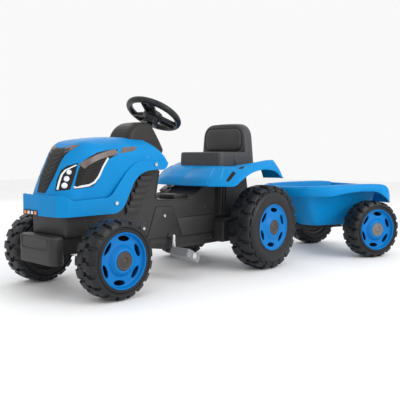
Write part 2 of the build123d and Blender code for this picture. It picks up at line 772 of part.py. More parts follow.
def chain_loop(extra):
    """Outline of the chain's run round both wheels, this far outside the tooth tips."""
    with BuildSketch(Plane.XZ.offset(-CHAIN_Y)) as loop:
        with Locations((CRANK_X, CRANK_Z)):
            Circle(pitch_radius(CHAINRING_TEETH) + 1.0 + extra)
        with Locations((WHEELBASE, REAR_WHEEL_R)):
            Circle(pitch_radius(SPROCKET_TEETH) + 1.0 + extra)
        make_hull()
    return loop.sketch


outer_run = extrude(chain_loop(GAP + CHAIN_THICK), amount=3, both=True)
inner_run = extrude(chain_loop(GAP), amount=4, both=True)
keep("chain", outer_run - inner_run)

rear_axle_end = REAR_WHEEL_Y + REAR_WHEEL_W / 2 - 5
keep("rear_axle", cross_bar(WHEELBASE, REAR_WHEEL_R, AXLE_R, -rear_axle_end, rear_axle_end))
sleeve_end = REAR_WHEEL_Y - REAR_WHEEL_W / 2 + 4 - GAP
bushes = cross_bar(WHEELBASE, REAR_WHEEL_R, AXLE_R + 4, -sleeve_end, -REAR_HOUSING_HALF + WALL)
bushes += cross_bar(CRANK_X, CRANK_Z, AXLE_R + 4, -CHASSIS_HALF - 5, -CHASSIS_HALF + WALL)
bushes -= cross_bar(WHEELBASE, REAR_WHEEL_R, AXLE_R + RUNNING, -200, 0)
bushes -= cross_bar(CRANK_X, CRANK_Z, AXLE_R + RUNNING, -200, 0)
keep("bearing_bushes", both_sides(bushes))


# ---------------------------------------------------------------- deck with mudguards
def wing_body(stations):
    """A ruled body through YZ outlines, each placed along X from the rear axle and along Z from the deck."""
    with BuildPart() as body:
        for x, points in stations:
            with BuildSketch(Plane.YZ.offset(WHEELBASE + x)):
                with BuildLine():
                    Polyline(*[(y, DECK_Z + z) for y, z in points], close=True)
                make_face()
        loft(ruled=True)
    return body.part


def sheet(body, drop):
    """The skin of a body: the body less itself moved down and inward."""
    return body - Pos(0, -0.7 * drop, -drop) * body


wing_front = [
    (-188, [(0, -55), (70, -55), (112, -56), (117, -58), (0, -61)]),
    (-138, [(0, -15), (84, -15), (132, -25), (WING_HALF - 5, -59), (0, -61)]),
    (-116, [(0, 0), (92, 0), (146, -11), (WING_HALF - 2, -49), (0, -59)]),
    (-84, [(0, 0), (DECK_HALF, 0), (160, 1), (WING_HALF, -35), (0, -59)]),
    (-20, [(0, 0), (DECK_HALF, 0), (168, 17), (WING_HALF, -14), (0, -33)]),
    (60, [(0, 0), (DECK_HALF, 0), (172, 25), (WING_HALF, -18), (0, -33)]),
]
wing_rear = [
    (60, [(101, 0), (DECK_HALF, 0), (172, 25), (WING_HALF, -18), (101, -23)]),
    (86, [(101, -5), (DECK_HALF, -4), (172, 3), (WING_HALF, -29), (101, -33)]),
    (104, [(101, -37), (DECK_HALF, -36), (172, -36), (WING_HALF, -39), (101, -41)]),
]
wing_solid = wing_body(wing_front)
wing = sheet(wing_solid, DECK_THICK) + sheet(wing_body(wing_rear), DECK_THICK) - seat_slot
keep("mudguard_right", wing)
keep("mudguard_left", wing.mirror(Plane.XZ))

# A thin inlay on the wing's outer face, leaning with its front edge.
inlay_outline = [
    (WHEELBASE - 118, DECK_Z - 47),
    (WHEELBASE - 102, DECK_Z - 43),
    (WHEELBASE - 28, DECK_Z + 11),
    (WHEELBASE - 44, DECK_Z + 11),
]
inlay = slab(inlay_outline, 100, WING_HALF + 5) & (Pos(0, 0.7 * SKIN, SKIN) * wing_solid - wing_solid)
keep("mudguard_inlays", both_sides(inlay))

# ---------------------------------------------------------------- seat
seat_base_z = DECK_Z + GAP
with BuildPart() as seat:
    with BuildSketch(Plane.XY.offset(seat_base_z)):
        with BuildLine():
            Polyline(
                (SEAT_FRONT_X, -SEAT_HALF),
                (SEAT_FRONT_X, SEAT_HALF),
                (SEAT_FRONT_X + 60, SEAT_HALF + 3),
                (SEAT_BACK_X, SEAT_REAR_HALF),
                (SEAT_BACK_X, -SEAT_REAR_HALF),
                (SEAT_FRONT_X + 60, -SEAT_HALF - 3),
                close=True,
            )
        make_face()
        fillet(vertices().filter_by(lambda v: abs(v.X - SEAT_FRONT_X) < 1 or v.X > SEAT_BACK_X - 1), 12)
    extrude(amount=SEAT_TOP - seat_base_z)
    with BuildSketch(Plane.YZ.offset(SEAT_BACK_X)):
        with Locations((0, (SEAT_TOP + BACKREST_TOP) / 2 - 10)):
            RectangleRounded(2 * BACKREST_HALF, BACKREST_TOP - SEAT_TOP + 20, 32)
    extrude(amount=-BACKREST_THICK)
    with BuildSketch(Plane.YZ.offset(SEAT_BACK_X - BACKREST_THICK)):
        with Locations((0, BACKREST_TOP - 50)):
            RectangleRounded(*BACK_PAD_SIZE, 22)
    extrude(amount=3, mode=Mode.SUBTRACT)
    with BuildSketch(Plane.XY.offset(SEAT_TOP)):
        with Locations(((SEAT_FRONT_X + SEAT_BACK_X - BACKREST_THICK) / 2, 0)):
            RectangleRounded(SEAT_BACK_X - BACKREST_THICK - SEAT_FRONT_X - 16, 2 * (SEAT_HALF - 14), 16)
    extrude(amount=-SEAT_DISH, mode=Mode.SUBTRACT)
    # Hollow from below, up to the seat surface.
    with BuildSketch(Plane.XY.offset(seat_base_z)):
        with Locations(((SEAT_FRONT_X + SEAT_BACK_X) / 2, 0)):
            RectangleRounded(SEAT_BACK_X - SEAT_FRONT_X - 24, 2 * (SEAT_HALF - 10), 12)
    extrude(amount=SEAT_TOP - SEAT_DISH - WALL - seat_base_z, mode=Mode.SUBTRACT)
seat_boss = Pos(SEAT_SCREW_X, 0, seat_base_z) * Cylinder(
    12, SEAT_TOP - SEAT_DISH - seat_base_z, align=(Align.CENTER, Align.CENTER, Align.MIN)
)
keep("seat", seat.part + seat_boss - Pos(SEAT_SCREW_X, 0, seat_base_z) * Cylinder(SEAT_SCREW_R, 40))

with BuildPart() as seat_clamp:
    with BuildSketch(Plane.XY.offset(seat_base_z - 24)):
        with Locations((SEAT_SCREW_X, 0)):
            Circle(SEAT_SCREW_R)
    extrude(amount=44)
    with BuildSketch(Plane.XY.offset(chassis_top - WALL - GAP)):
        with Locations((SEAT_SCREW_X, 0)):
            Circle(4 * SEAT_SCREW_R)
    extrude(amount=-10)
keep("seat_clamp", seat_clamp.part)

# ---------------------------------------------------------------- hitch
tongue_bottom = TONGUE_Z - TONGUE_THICK / 2
tongue_top = TONGUE_Z + TONGUE_THICK / 2
chassis_back = WHEELBASE + 72.0
plate_thick = 6.0
plate_length = HITCH_X - chassis_back - 4
with BuildPart() as hitch_bracket:
    with Locations((chassis_back + plate_thick / 2, 0, TONGUE_Z)):
        Box(plate_thick, 56, 46)
    for plate_bottom in (tongue_bottom - 1 - plate_thick, tongue_top + 1):
        with BuildSketch(Plane.XY.offset(plate_bottom)):
            with Locations((HITCH_X - plate_length / 2, 0)):
                Rectangle(plate_length, 40)
            with Locations((HITCH_X, 0)):
                Circle(20)
        extrude(amount=plate_thick)
    with Locations((HITCH_X, 0, TONGUE_Z)):
        Cylinder(HITCH_PIN_R, 80, mode=Mode.SUBTRACT)
keep("hitch_bracket", hitch_bracket.part)

with BuildPart() as hitch_pin:
    with BuildSketch(Plane.XY.offset(tongue_bottom - 14)):
        with Locations((HITCH_X, 0)):
            Circle(HITCH_PIN_R)
    extrude(amount=50)
    with BuildSketch(Plane.XY.offset(tongue_top + 22)):
        with Locations((HITCH_X, 0)):
            Circle(11)
    extrude(amount=8)
keep("hitch_pin", hitch_pin.part)

# ---------------------------------------------------------------- trailer, in its own frame from the hitch
drawbar_outline = [
    (8, tongue_bottom),
    (8, tongue_top),
    (146, tongue_top),
    (168, TUB_FLOOR_Z),
    (DRAWBAR_LENGTH + 32, TUB_FLOOR_Z),
    (DRAWBAR_LENGTH + 32, 87),
    (150, 87),
    (126, tongue_bottom),
]
with BuildPart() as drawbar:
    with BuildSketch(Plane.XZ):
        with BuildLine():
            Polyline(*drawbar_outline, close=True)
        make_face()
    extrude(amount=13, both=True)
    with BuildSketch(Plane.XY.offset(tongue_bottom)):
        Circle(17)
    extrude(amount=tongue_top - tongue_bottom)
    with BuildSketch(Plane.XY.offset(tongue_bottom)):
        Circle(HITCH_PIN_R + GAP)
    extrude(amount=tongue_top - tongue_bottom, mode=Mode.SUBTRACT)
axle_length = TRAILER_WHEEL_Y + FRONT_WHEEL_W / 2 - 5
trailer_axle = cross_bar(DRAWBAR_LENGTH, FRONT_WHEEL_R, AXLE_R, -axle_length, axle_length)
keep("trailer_drawbar", trailer_frame * (drawbar.part - trailer_axle))
keep("trailer_axle", trailer_frame * trailer_axle)

rim_crest = [(96, 250), (240, 251), (300, 255), (440, 256), (480, 250), (500, 222), (TRAILER_TAIL, 186)]
rim_lip = [(TRAILER_TAIL - 5, 186), (484, 200), (462, 221), (426, 230), (290, 224), (240, 217), (96, 214)]


def rim_plan(inset):
    """Plan of the trailer's rim: rounded prow, straight sides."""
    with BuildSketch(Plane.XY.offset(150)) as plan:
        with BuildLine():
            Polyline(
                (97, 0),
                (104, 62),
                (130, 110),
                (178, RIM_HALF - 14),
                (236, RIM_HALF),
                (TRAILER_TAIL, RIM_HALF),
                (TRAILER_TAIL, -RIM_HALF),
                (236, -RIM_HALF),
                (178, 14 - RIM_HALF),
                (130, -110),
                (104, -62),
                close=True,
            )
        make_face()
        if inset:
            offset(amount=-inset, kind=Kind.INTERSECTION)
    return plan.sketch


def tub_body(inset):
    """The tub from its floor to above the rim, narrower at the floor."""
    with BuildPart() as body:
        for z, front, prow, half, tail in (
            (TUB_FLOOR_Z, 196, 216, 92, 456),
            (190, 140, 178, 130, 470),
            (TUB_TOP_Z, 124, 168, TUB_HALF, 476),
        ):
            with BuildSketch(Plane.XY.offset(z)):
                with BuildLine():
                    Polyline(
                        (front, PROW_HALF),
                        (prow, half),
                        (tail, half),
                        (tail, -half),
                        (prow, -half),
                        (front, -PROW_HALF),
                        close=True,
                    )
                make_face()
                if inset:
                    offset(amount=-inset, kind=Kind.INTERSECTION)
        loft(ruled=True)
    return body.part


band_solid = slab(rim_crest + rim_lip, -200, 200) & extrude(rim_plan(0), amount=150)
under_crest = [(x, z - TUB_WALL) for x, z in rim_crest[:-1]] + [(TRAILER_TAIL - TUB_WALL, 186)]
under_side = slab(under_crest + [(TRAILER_TAIL - TUB_WALL, 150), (96, 150)], -200, 200)
band_hollow = under_side & extrude(rim_plan(TUB_WALL), amount=150)
tub_outer = tub_body(0) & slab(
    [(90, 90)] + rim_crest[:-2] + [(494, 240), (494, 90)], -200, 200
)
tub_inner = Pos(0, 0, TUB_WALL) * tub_body(TUB_WALL)
tub = (band_solid - band_hollow) + tub_outer
tub = tub - tub_inner
keep("trailer_tub", trailer_frame * tub)

# ---------------------------------------------------------------- to the row frame
boxes = [shape.bounding_box() for shape in parts.values()]
low = [min(getattr(box.min, axis) for box in boxes) for axis in "XYZ"]
high = [max(getattr(box.max, axis) for box in boxes) for axis in "XYZ"]
shift = (-(low[0] + high[0]) / 2, -(low[1] + high[1]) / 2, -low[2])
print("row frame shift", [round(value, 3) for value in shift])
print("size", [round(b - a, 1) for a, b in zip(low, high)])
for name, shape in parts.items():
    placed = Pos(*shift) * shape
    placed.label = name
    export_step(placed, f"parts/{name}.step")
print(len(parts), "nodes")
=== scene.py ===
# %% [markdown]
# # A child's pedal tractor with its trailer
# The engineering model is loaded first and stays where it is. Everything that shows is then either one of
# its own parts with a better surface, or a finer piece made here that stands in for it and rides on the
# same body. Working this way round means that nothing is ever fitted by eye: each place is read from the
# frame.

# %% Load the frame
import json
from math import atan2, cos, degrees, pi, radians, sin, sqrt

import bmesh
import bpy
import numpy as np
from mathutils import Matrix, Vector


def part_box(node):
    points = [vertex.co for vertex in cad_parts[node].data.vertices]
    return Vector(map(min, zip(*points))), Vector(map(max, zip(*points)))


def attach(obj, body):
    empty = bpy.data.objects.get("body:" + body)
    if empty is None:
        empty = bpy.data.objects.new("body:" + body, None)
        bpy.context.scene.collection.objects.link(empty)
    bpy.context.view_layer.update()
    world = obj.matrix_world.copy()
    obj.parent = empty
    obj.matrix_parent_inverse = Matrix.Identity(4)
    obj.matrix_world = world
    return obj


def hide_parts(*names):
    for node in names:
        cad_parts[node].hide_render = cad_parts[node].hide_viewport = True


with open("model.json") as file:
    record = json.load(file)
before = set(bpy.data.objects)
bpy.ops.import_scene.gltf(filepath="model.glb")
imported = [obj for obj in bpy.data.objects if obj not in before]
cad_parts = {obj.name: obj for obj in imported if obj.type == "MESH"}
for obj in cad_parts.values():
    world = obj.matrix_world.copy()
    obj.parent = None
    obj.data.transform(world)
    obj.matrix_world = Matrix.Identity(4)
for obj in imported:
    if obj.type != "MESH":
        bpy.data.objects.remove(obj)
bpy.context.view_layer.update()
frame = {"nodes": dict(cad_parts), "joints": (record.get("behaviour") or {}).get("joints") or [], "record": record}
nodes = frame["nodes"]

# %% [markdown]
# ## Where things are
# The maker's drawings count millimetres from a point on the ground under the front axle. The frame's own
# origin is elsewhere, so that point is found once from the axle beam, and the trailer's from the hitch pin.

# %% Find the working origin and the trailer's place
MM = 0.001


def middle(node):
    low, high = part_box(node)
    return (Vector(low) + Vector(high)) / 2


beam = middle("front_axle_beam")
ORIGIN = Vector((beam.x, beam.y, 0))
hitch = middle("hitch_pin")
joints = {joint["name"]: joint for joint in frame["joints"]}
trailer_axis = joints["trailer_wheel_l_spin"]["axis"]
TRAILER_TURN = -atan2(trailer_axis[0], trailer_axis[1])
TRACTOR = Matrix.Translation(ORIGIN)
TRAILER = Matrix.Translation((hitch.x, hitch.y, 0)) @ Matrix.Rotation(TRAILER_TURN, 4, "Z")
print("origin", ORIGIN, "trailer turned", round(degrees(TRAILER_TURN), 2))

# %% [markdown]
# ## The camera
# A long lens at child's-eye height looks along the tractor's left front corner, so that the bonnet, the
# wheels' faces and the trailer all show. It stands well back, which keeps the wheels from looking
# stretched.

# %% Stand the camera
CAMERA_SPOT = Vector((-0.91707, -1.31153, 0.35246))
CAMERA_YAW, CAMERA_PITCH = radians(46.976), radians(-4.175)
CAMERA_LENS, SENSOR_WIDTH = 53.27, 36

bpy.ops.object.select_all(action="DESELECT")
bpy.ops.object.camera_add(location=ORIGIN + CAMERA_SPOT, rotation=(pi / 2 + CAMERA_PITCH, 0, -CAMERA_YAW))
camera = bpy.context.active_object
camera.data.lens = CAMERA_LENS
camera.data.sensor_width = SENSOR_WIDTH
bpy.context.scene.camera = camera
print("camera at", camera.location)

# %% [markdown]
# ## A small workshop
# Nearly every piece here is either turned like a pot, drawn through a row of outlines, or pressed onto a
# smooth form. One helper for each keeps the pieces short. All of them start from a primitive and use edit
# mode, and all leave the object at the origin with its place in its mesh.


# %% Helpers for selecting and finishing
# Points closer together than this, in millimetres, are one point.
MERGE = 0.01


def deselect_all():
    if bpy.context.mode != "OBJECT":
        bpy.ops.object.mode_set(mode="OBJECT")
    bpy.ops.object.select_all(action="DESELECT")


def only(obj):
    deselect_all()
    obj.select_set(True)
    bpy.context.view_layer.objects.active = obj


def called(name):
    obj = bpy.context.active_object
    obj.name = obj.data.name = name
    return obj


def edit(obj, mode="FACE"):
    only(obj)
    bpy.ops.object.mode_set(mode="EDIT")
    bpy.ops.mesh.select_mode(type=mode)
    bpy.ops.mesh.select_all(action="DESELECT")


def pick_faces(obj, test):
    """In edit mode, selects just the faces whose centre and normal pass the test."""
    bpy.ops.mesh.select_mode(type="FACE")
    bpy.ops.mesh.select_all(action="DESELECT")
    mesh = bmesh.from_edit_mesh(obj.data)
    for face in mesh.faces:
        face.select_set(bool(test(face.calc_center_median(), face.normal)))
    bmesh.update_edit_mesh(obj.data)


def apply_modifier(obj, kind, **settings):
    only(obj)
    modifier = obj.modifiers.new(kind.lower(), kind)
    for key, value in settings.items():
        setattr(modifier, key, value)
    bpy.ops.object.modifier_apply(modifier=modifier.name)


def smooth(obj, angle):
    """Shades smoothly across every edge that is flatter than the angle."""
    only(obj)
    bpy.ops.object.shade_smooth_by_angle(angle=radians(angle))


def soften(obj, width, segments=2, angle=35, shade=35):
    """Rounds every edge sharper than the angle, as a mould does, then shades smoothly across the rest."""
    apply_modifier(
        obj, "BEVEL", width=width * MM, segments=segments, limit_method="ANGLE",
        angle_limit=radians(angle), use_clamp_overlap=True, harden_normals=False,
    )
    smooth(obj, shade)


def outward(obj):
    """Merges points that coincide and turns every face outwards."""
    edit(obj)
    bpy.ops.mesh.select_all(action="SELECT")
    bpy.ops.mesh.remove_doubles(threshold=MERGE * MM)
    bpy.ops.mesh.normals_make_consistent(inside=False)
    bpy.ops.object.mode_set(mode="OBJECT")


def stand(obj, matrix):
    """Moves a piece made about its own origin to its place, and leaves the place in its mesh."""
    only(obj)
    obj.matrix_world = matrix @ obj.matrix_world
    bpy.ops.object.transform_apply(location=True, rotation=True, scale=True)
    return obj


def joined(name, *objs):
    deselect_all()
    for obj in objs:
        obj.select_set(True)
    bpy.context.view_layer.objects.active = objs[0]
    bpy.ops.object.join()
    return called(name)


def copied(template, name, matrix=Matrix()):
    only(template)
    bpy.ops.object.duplicate(linked=False)
    return stand(called(name), matrix)


def mirrored(template, name):
    """The same piece on the tractor's other side."""
    twin = copied(template, name)
    edit(twin)
    bpy.ops.mesh.select_all(action="SELECT")
    bpy.ops.transform.resize(value=(1, -1, 1), center_override=(0, 0, 0))
    bpy.ops.mesh.flip_normals()
    bpy.ops.object.mode_set(mode="OBJECT")
    return twin


def discard(*objs):
    deselect_all()
    for obj in objs:
        obj.select_set(True)
    bpy.ops.object.delete()


# %% Helpers that make forms
def net_points(obj):
    """All points of an object's net as rows."""
    raw = np.empty(len(obj.data.vertices) * 3)
    obj.data.vertices.foreach_get("co", raw)
    return raw.reshape(-1, 3)


def lay_points(obj, points):
    """Moves an object's points to these places, given in millimetres."""
    obj.data.vertices.foreach_set("co", (points * MM).ravel())
    obj.data.update()


def ring_loft(name, rings, closed=False):
    """Extrudes a circle once for each ring, then lays each ring's points where the form needs them."""
    count = len(rings[0])
    deselect_all()
    bpy.ops.mesh.primitive_circle_add(vertices=count, radius=1)
    obj = called(name)
    bpy.ops.object.mode_set(mode="EDIT")
    bpy.ops.mesh.select_mode(type="EDGE")
    bpy.ops.mesh.select_all(action="SELECT")
    for _ in rings[1:]:
        bpy.ops.mesh.extrude_edges_move(TRANSFORM_OT_translate={"value": (0, 0, 1)})
    bpy.ops.object.mode_set(mode="OBJECT")
    raw = net_points(obj)
    level = np.rint(raw[:, 2]).astype(int)
    step = np.rint(np.arctan2(raw[:, 0], raw[:, 1]) / (2 * pi) * count).astype(int) % count
    lay_points(obj, np.asarray(rings, dtype=float)[level, step])
    if not closed:
        edit(obj, "EDGE")
        bpy.ops.mesh.select_non_manifold()
        bpy.ops.mesh.fill_holes(sides=0)
        bpy.ops.object.mode_set(mode="OBJECT")
    outward(obj)
    return obj


def turned(name, profile, segments=96):
    """Turns a closed profile of (place along Y, radius) about Y."""
    angles = np.arange(segments) * 2 * pi / segments
    rings = [
        np.column_stack((r * np.cos(angles), np.full(segments, y), r * np.sin(angles)))
        for y, r in [*profile, profile[0]]
    ]
    return ring_loft(name, rings, closed=True)


def arc(start, through, end, steps=8):
    """Points along the circle through three points, without the first."""
    (ax, ay), (bx, by), (cx, cy) = start, through, end
    d = 2 * (ax * (by - cy) + bx * (cy - ay) + cx * (ay - by))
    ux = ((ax**2 + ay**2) * (by - cy) + (bx**2 + by**2) * (cy - ay) + (cx**2 + cy**2) * (ay - by)) / d
    uy = ((ax**2 + ay**2) * (cx - bx) + (bx**2 + by**2) * (ax - cx) + (cx**2 + cy**2) * (bx - ax)) / d
    r = sqrt((ax - ux) ** 2 + (ay - uy) ** 2)
    a0, a1, a2 = (atan2(y - uy, x - ux) for x, y in (start, through, end))
    turn = (a2 - a0) % (2 * pi)
    if (a1 - a0) % (2 * pi) > turn:
        turn -= 2 * pi
    angles = [a0 + turn * k / steps for k in range(1, steps + 1)]
    return [(ux + r * cos(angle), uy + r * sin(angle)) for angle in angles]


def prism(name, outline, low, high):
    """An outline in X and Z carried along Y."""
    points = np.asarray(outline, dtype=float)
    rings = [np.column_stack((points[:, 0], np.full(len(points), y), points[:, 1])) for y in (low, high)]
    return ring_loft(name, rings)


def block(name, centre, size, bevel=0, segments=2):
    """A box that is at once rounded along its edges, in millimetres."""
    deselect_all()
    bpy.ops.mesh.primitive_cube_add(size=1, location=Vector(centre) * MM)
    obj = called(name)
    obj.scale = Vector(size) * MM
    bpy.ops.object.transform_apply(location=True, rotation=True, scale=True)
    if bevel:
        soften(obj, bevel, segments)
    return obj


def carve(obj, cutter, operation="DIFFERENCE"):
    apply_modifier(obj, "BOOLEAN", operation=operation, solver="MANIFOLD", object=cutter)
    discard(cutter)


# %% [markdown]
# ## Smooth moulded forms
# A blow-moulded panel is flat or gently curved in the middle and flows round its corners. Such a form is
# easiest to say as the space inside several faces, with a soft maximum in place of the hard corner between
# two of them. A finely divided cube is then pushed onto that form, which gives an even, seamless net of
# quads.


# %% Helpers for smooth forms
def soft_max(a, b, reach):
    """The larger of two distances, rounded off where they come within reach of each other."""
    blend = np.maximum(reach - np.abs(a - b), 0) / reach
    return np.maximum(a, b) + blend * blend * reach / 4


def beyond(u, v, outline):
    """How far points lie outside a convex outline, which runs with its inside on the right."""
    far = np.full(np.shape(u), -1e9)
    for (u0, v0), (u1, v1) in zip(outline, outline[1:]):
        length = sqrt((u1 - u0) ** 2 + (v1 - v0) ** 2)
        far = np.maximum(far, (-(v1 - v0) * (u - u0) + (u1 - u0) * (v - v0)) / length)
    return far


# A form's surface is looked for between these shares of the way to the cube's own surface.
REACH = (0.05, 1.8)
ROUNDS = 40


def last_place(count, near, far, test):
    """Halves each stretch from near to far again and again: the last place that still passes the test."""
    near, far = np.full(count, float(near)), np.full(count, float(far))
    for _ in range(ROUNDS):
        mid = (near + far) / 2
        passed = test(mid)
        near, far = np.where(passed, mid, near), np.where(passed, far, mid)
    return near


def pressed(name, form, low, high, cuts=40):
    """A divided cube whose points are all moved, from its centre, onto the form."""
    centre = (np.asarray(low, float) + np.asarray(high, float)) / 2
    half = (np.asarray(high, float) - np.asarray(low, float)) / 2
    deselect_all()
    bpy.ops.mesh.primitive_cube_add(size=2)
    obj = called(name)
    bpy.ops.object.mode_set(mode="EDIT")
    bpy.ops.mesh.select_all(action="SELECT")
    bpy.ops.mesh.subdivide(number_cuts=cuts)
    bpy.ops.object.mode_set(mode="OBJECT")
    rays = net_points(obj) * half
    reach = last_place(len(rays), *REACH, lambda share: form(centre + rays * share[:, None]) < 0)
    lay_points(obj, centre + rays * reach[:, None])
    outward(obj)
    return obj


def onto(form, points, axis, start):
    """Slides points along an axis, from the start inwards, until they meet the form."""
    points = np.array(points, dtype=float)

    def is_outside(place):
        points[:, axis] = place
        return form(points) > 0

    points[:, axis] = last_place(len(points), start, 0, is_outside)
    return points


# Relief ends at this share of the way out, so that a trim keeps a clean edge.
FLAT_EDGE = 0.97


def inlay(name, form, outline, axis, start, height, relief, rings, round_steps, depth=2.0):
    """A thin trim on a form: its outline is filled in rings towards its middle, each lying on the form."""
    flat = np.array(outline, dtype=float)
    dense = []
    for a, b in zip(flat, np.roll(flat, -1, axis=0)):
        dense += [a + (b - a) * k / round_steps for k in range(round_steps)]
    dense = np.array(dense)
    heart = dense.mean(axis=0)
    outwards = 1 if start > 0 else -1
    layers = []
    for share, lift in [(k / rings, height) for k in range(1, rings + 1)] + [(1.0, -depth), (0.05, -depth)]:
        points = onto(form, np.insert(heart + (dense - heart) * share, axis, 0, axis=1), axis, start)
        rise = np.full(len(points), float(lift))
        if relief is not None and lift > 0 and share < FLAT_EDGE:
            rise = rise + relief(points)
        points[:, axis] += outwards * rise
        layers.append(points)
    return ring_loft(name, layers)


print("workshop ready")

# %% [markdown]
# ## Finishes
# The toy is nearly all moulded plastic, so what tells its parts apart is colour, gloss and grain. Each
# finish mixes two near shades with slow noise, as pigment does, and roughens the gloss and the surface with
# fine grain. Edges and raised places are painted a touch lighter: partly wear, where handling has polished
# them, and partly a painted highlight standing in for the light that catches them.


# %% Make the finishes
def finish_of(
    name, colour, shade, rough, grain=900.0, bump=0.12,
    cloud=14.0, metallic=0.0, coat=0.0, edge_wear_and_sheen=0.0, gloss=0.32,
):
    """A moulded or metal surface: two shades clouded together, with grain in its gloss and in its relief."""
    material = bpy.data.materials.new(name)
    material.use_nodes = True
    tree = material.node_tree
    shader = tree.nodes["Principled BSDF"]
    shader.inputs["Metallic"].default_value = metallic
    shader.inputs["Coat Weight"].default_value = coat
    shader.inputs["Coat Roughness"].default_value = 0.15
    shader.inputs["Specular IOR Level"].default_value = gloss
    place = tree.nodes.new("ShaderNodeTexCoord")

    def noise(scale, detail):
        node = tree.nodes.new("ShaderNodeTexNoise")
        node.inputs["Scale"].default_value = scale
        node.inputs["Detail"].default_value = detail
        tree.links.new(place.outputs["Object"], node.inputs["Vector"])
        return node.outputs["Fac"]

    def ranged(source, low, high, start=0.3, end=0.7):
        node = tree.nodes.new("ShaderNodeMapRange")
        for key, value in (("From Min", start), ("From Max", end), ("To Min", low), ("To Max", high)):
            node.inputs[key].default_value = value
        tree.links.new(source, node.inputs["Value"])
        return node.outputs["Result"]

    def mixed(factor, first, second):
        node = tree.nodes.new("ShaderNodeMix")
        node.data_type = "RGBA"
        tree.links.new(factor, node.inputs["Factor"])
        for socket, value in (("A", first), ("B", second)):
            target = [i for i in node.inputs if i.name == socket and i.type == "RGBA"][0]
            if isinstance(value, tuple):
                target.default_value = (*value, 1)
            else:
                tree.links.new(value, target)
        return [o for o in node.outputs if o.type == "RGBA"][0]

    colour_out = mixed(ranged(noise(cloud, 3), 0, 1), colour, shade)
    # Pointy edges are mixed towards a paler shade: partly real wear, partly a painted highlight on each edge.
    if edge_wear_and_sheen:
        geometry = tree.nodes.new("ShaderNodeNewGeometry")
        edge = ranged(geometry.outputs["Pointiness"], 0, edge_wear_and_sheen, 0.5, 0.6)
        pale = tuple(min(1.0, c * 1.6 + 0.02) for c in colour)
        colour_out = mixed(edge, colour_out, pale)
    tree.links.new(colour_out, shader.inputs["Base Color"])
    fine = noise(grain, 2)
    tree.links.new(ranged(fine, rough - 0.05, rough + 0.07), shader.inputs["Roughness"])
    relief = tree.nodes.new("ShaderNodeBump")
    relief.inputs["Strength"].default_value = bump
    relief.inputs["Distance"].default_value = 0.0004
    tree.links.new(fine, relief.inputs["Height"])
    tree.links.new(relief.outputs["Normal"], shader.inputs["Normal"])
    return material


blue_shell = finish_of("blue_shell", (0.0, 0.205, 0.5), (0.0, 0.22, 0.54), 0.42, edge_wear_and_sheen=0.12, gloss=0.14)
# A lighter, glossier blue for the ridges along the mudguards' creases: a painted highlight.
blue_painted_highlight = finish_of("blue_painted_highlight", (0.02, 0.3, 0.68), (0.03, 0.33, 0.72), 0.3, gloss=0.3)
blue_rim = finish_of("blue_rim", (0.0, 0.15, 0.44), (0.0, 0.163, 0.47), 0.38, edge_wear_and_sheen=0.12, gloss=0.16)
tyre_black = finish_of(
    "tyre_black", (0.009, 0.0095, 0.011), (0.014, 0.0145, 0.0165), 0.4, bump=0.2, edge_wear_and_sheen=0.2, gloss=0.26
)
back_plastic = finish_of("back_plastic", (0.012, 0.011, 0.011), (0.018, 0.016, 0.0155), 0.5, edge_wear_and_sheen=0.3)
chassis_plastic = finish_of(
    "chassis_plastic", (0.022, 0.0205, 0.0205), (0.029, 0.027, 0.0265), 0.46, 1400, 0.3, edge_wear_and_sheen=0.25
)
dash_plastic = finish_of(
    "dash_plastic", (0.02, 0.018, 0.0175), (0.026, 0.0235, 0.022), 0.42, 1400, 0.25, edge_wear_and_sheen=0.25, gloss=0.22
)
seat_plastic = finish_of(
    "seat_plastic", (0.036, 0.036, 0.038), (0.046, 0.046, 0.048), 0.45, 1100, 0.35, edge_wear_and_sheen=0.25
)
wheel_black = finish_of(
    "wheel_black", (0.007, 0.0075, 0.0085), (0.011, 0.0115, 0.0125), 0.34, 1200, 0.2, edge_wear_and_sheen=0.3
)
cap_plastic = finish_of("cap_plastic", (0.045, 0.036, 0.033), (0.058, 0.046, 0.042), 0.42, edge_wear_and_sheen=0.3)
cap_grey = finish_of("cap_grey", (0.13, 0.118, 0.11), (0.17, 0.155, 0.145), 0.4, edge_wear_and_sheen=0.3)
trim_dark = finish_of("trim_dark", (0.008, 0.0075, 0.008), (0.015, 0.0135, 0.013), 0.42, gloss=0.2)
trim_bronze = finish_of("trim_bronze", (0.1, 0.075, 0.068), (0.17, 0.13, 0.118), 0.3, cloud=40, coat=0.1)
trim_silver = finish_of("trim_silver", (0.75, 0.75, 0.77), (0.6, 0.6, 0.62), 0.28, cloud=60, coat=0.4)
trim_white = finish_of("trim_white", (0.85, 0.87, 0.9), (0.78, 0.81, 0.85), 0.25, coat=0.4)
lamp_face = finish_of("lamp_face", (0.75, 0.85, 1.0), (0.88, 0.94, 1.0), 0.12, cloud=120, coat=0.8)
lamp_amber = finish_of("lamp_amber", (0.75, 0.12, 0.02), (0.9, 0.3, 0.08), 0.2, cloud=180, coat=0.6)
pedal_plastic = finish_of(
    "pedal_plastic", (0.17, 0.172, 0.18), (0.21, 0.212, 0.22), 0.42, 1100, 0.3, edge_wear_and_sheen=0.3
)
bright_steel = finish_of("bright_steel", (0.66, 0.66, 0.67), (0.55, 0.55, 0.57), 0.26, 500, 0.1, metallic=1.0)


print("finishes:", len([m for m in bpy.data.materials if m.use_nodes]))


# %% [markdown]
# ## Putting a piece in service
# A new piece has to say three things: the body that it moves with, the engineering part that it stands for,
# and the record's finish that it takes. Saying all three in one call means that none is forgotten.


# %% A helper that puts a piece in service
bodies = frame["record"]["behaviour"]["bodies"]
body_of_node = {node: body for body, group in bodies.items() for node in group}
slot_of_node = {entry["node"]: entry["material_slot"] for entry in frame["record"]["subparts"]}


def dressed(obj, material):
    obj.data.materials.clear()
    obj.data.materials.append(material)


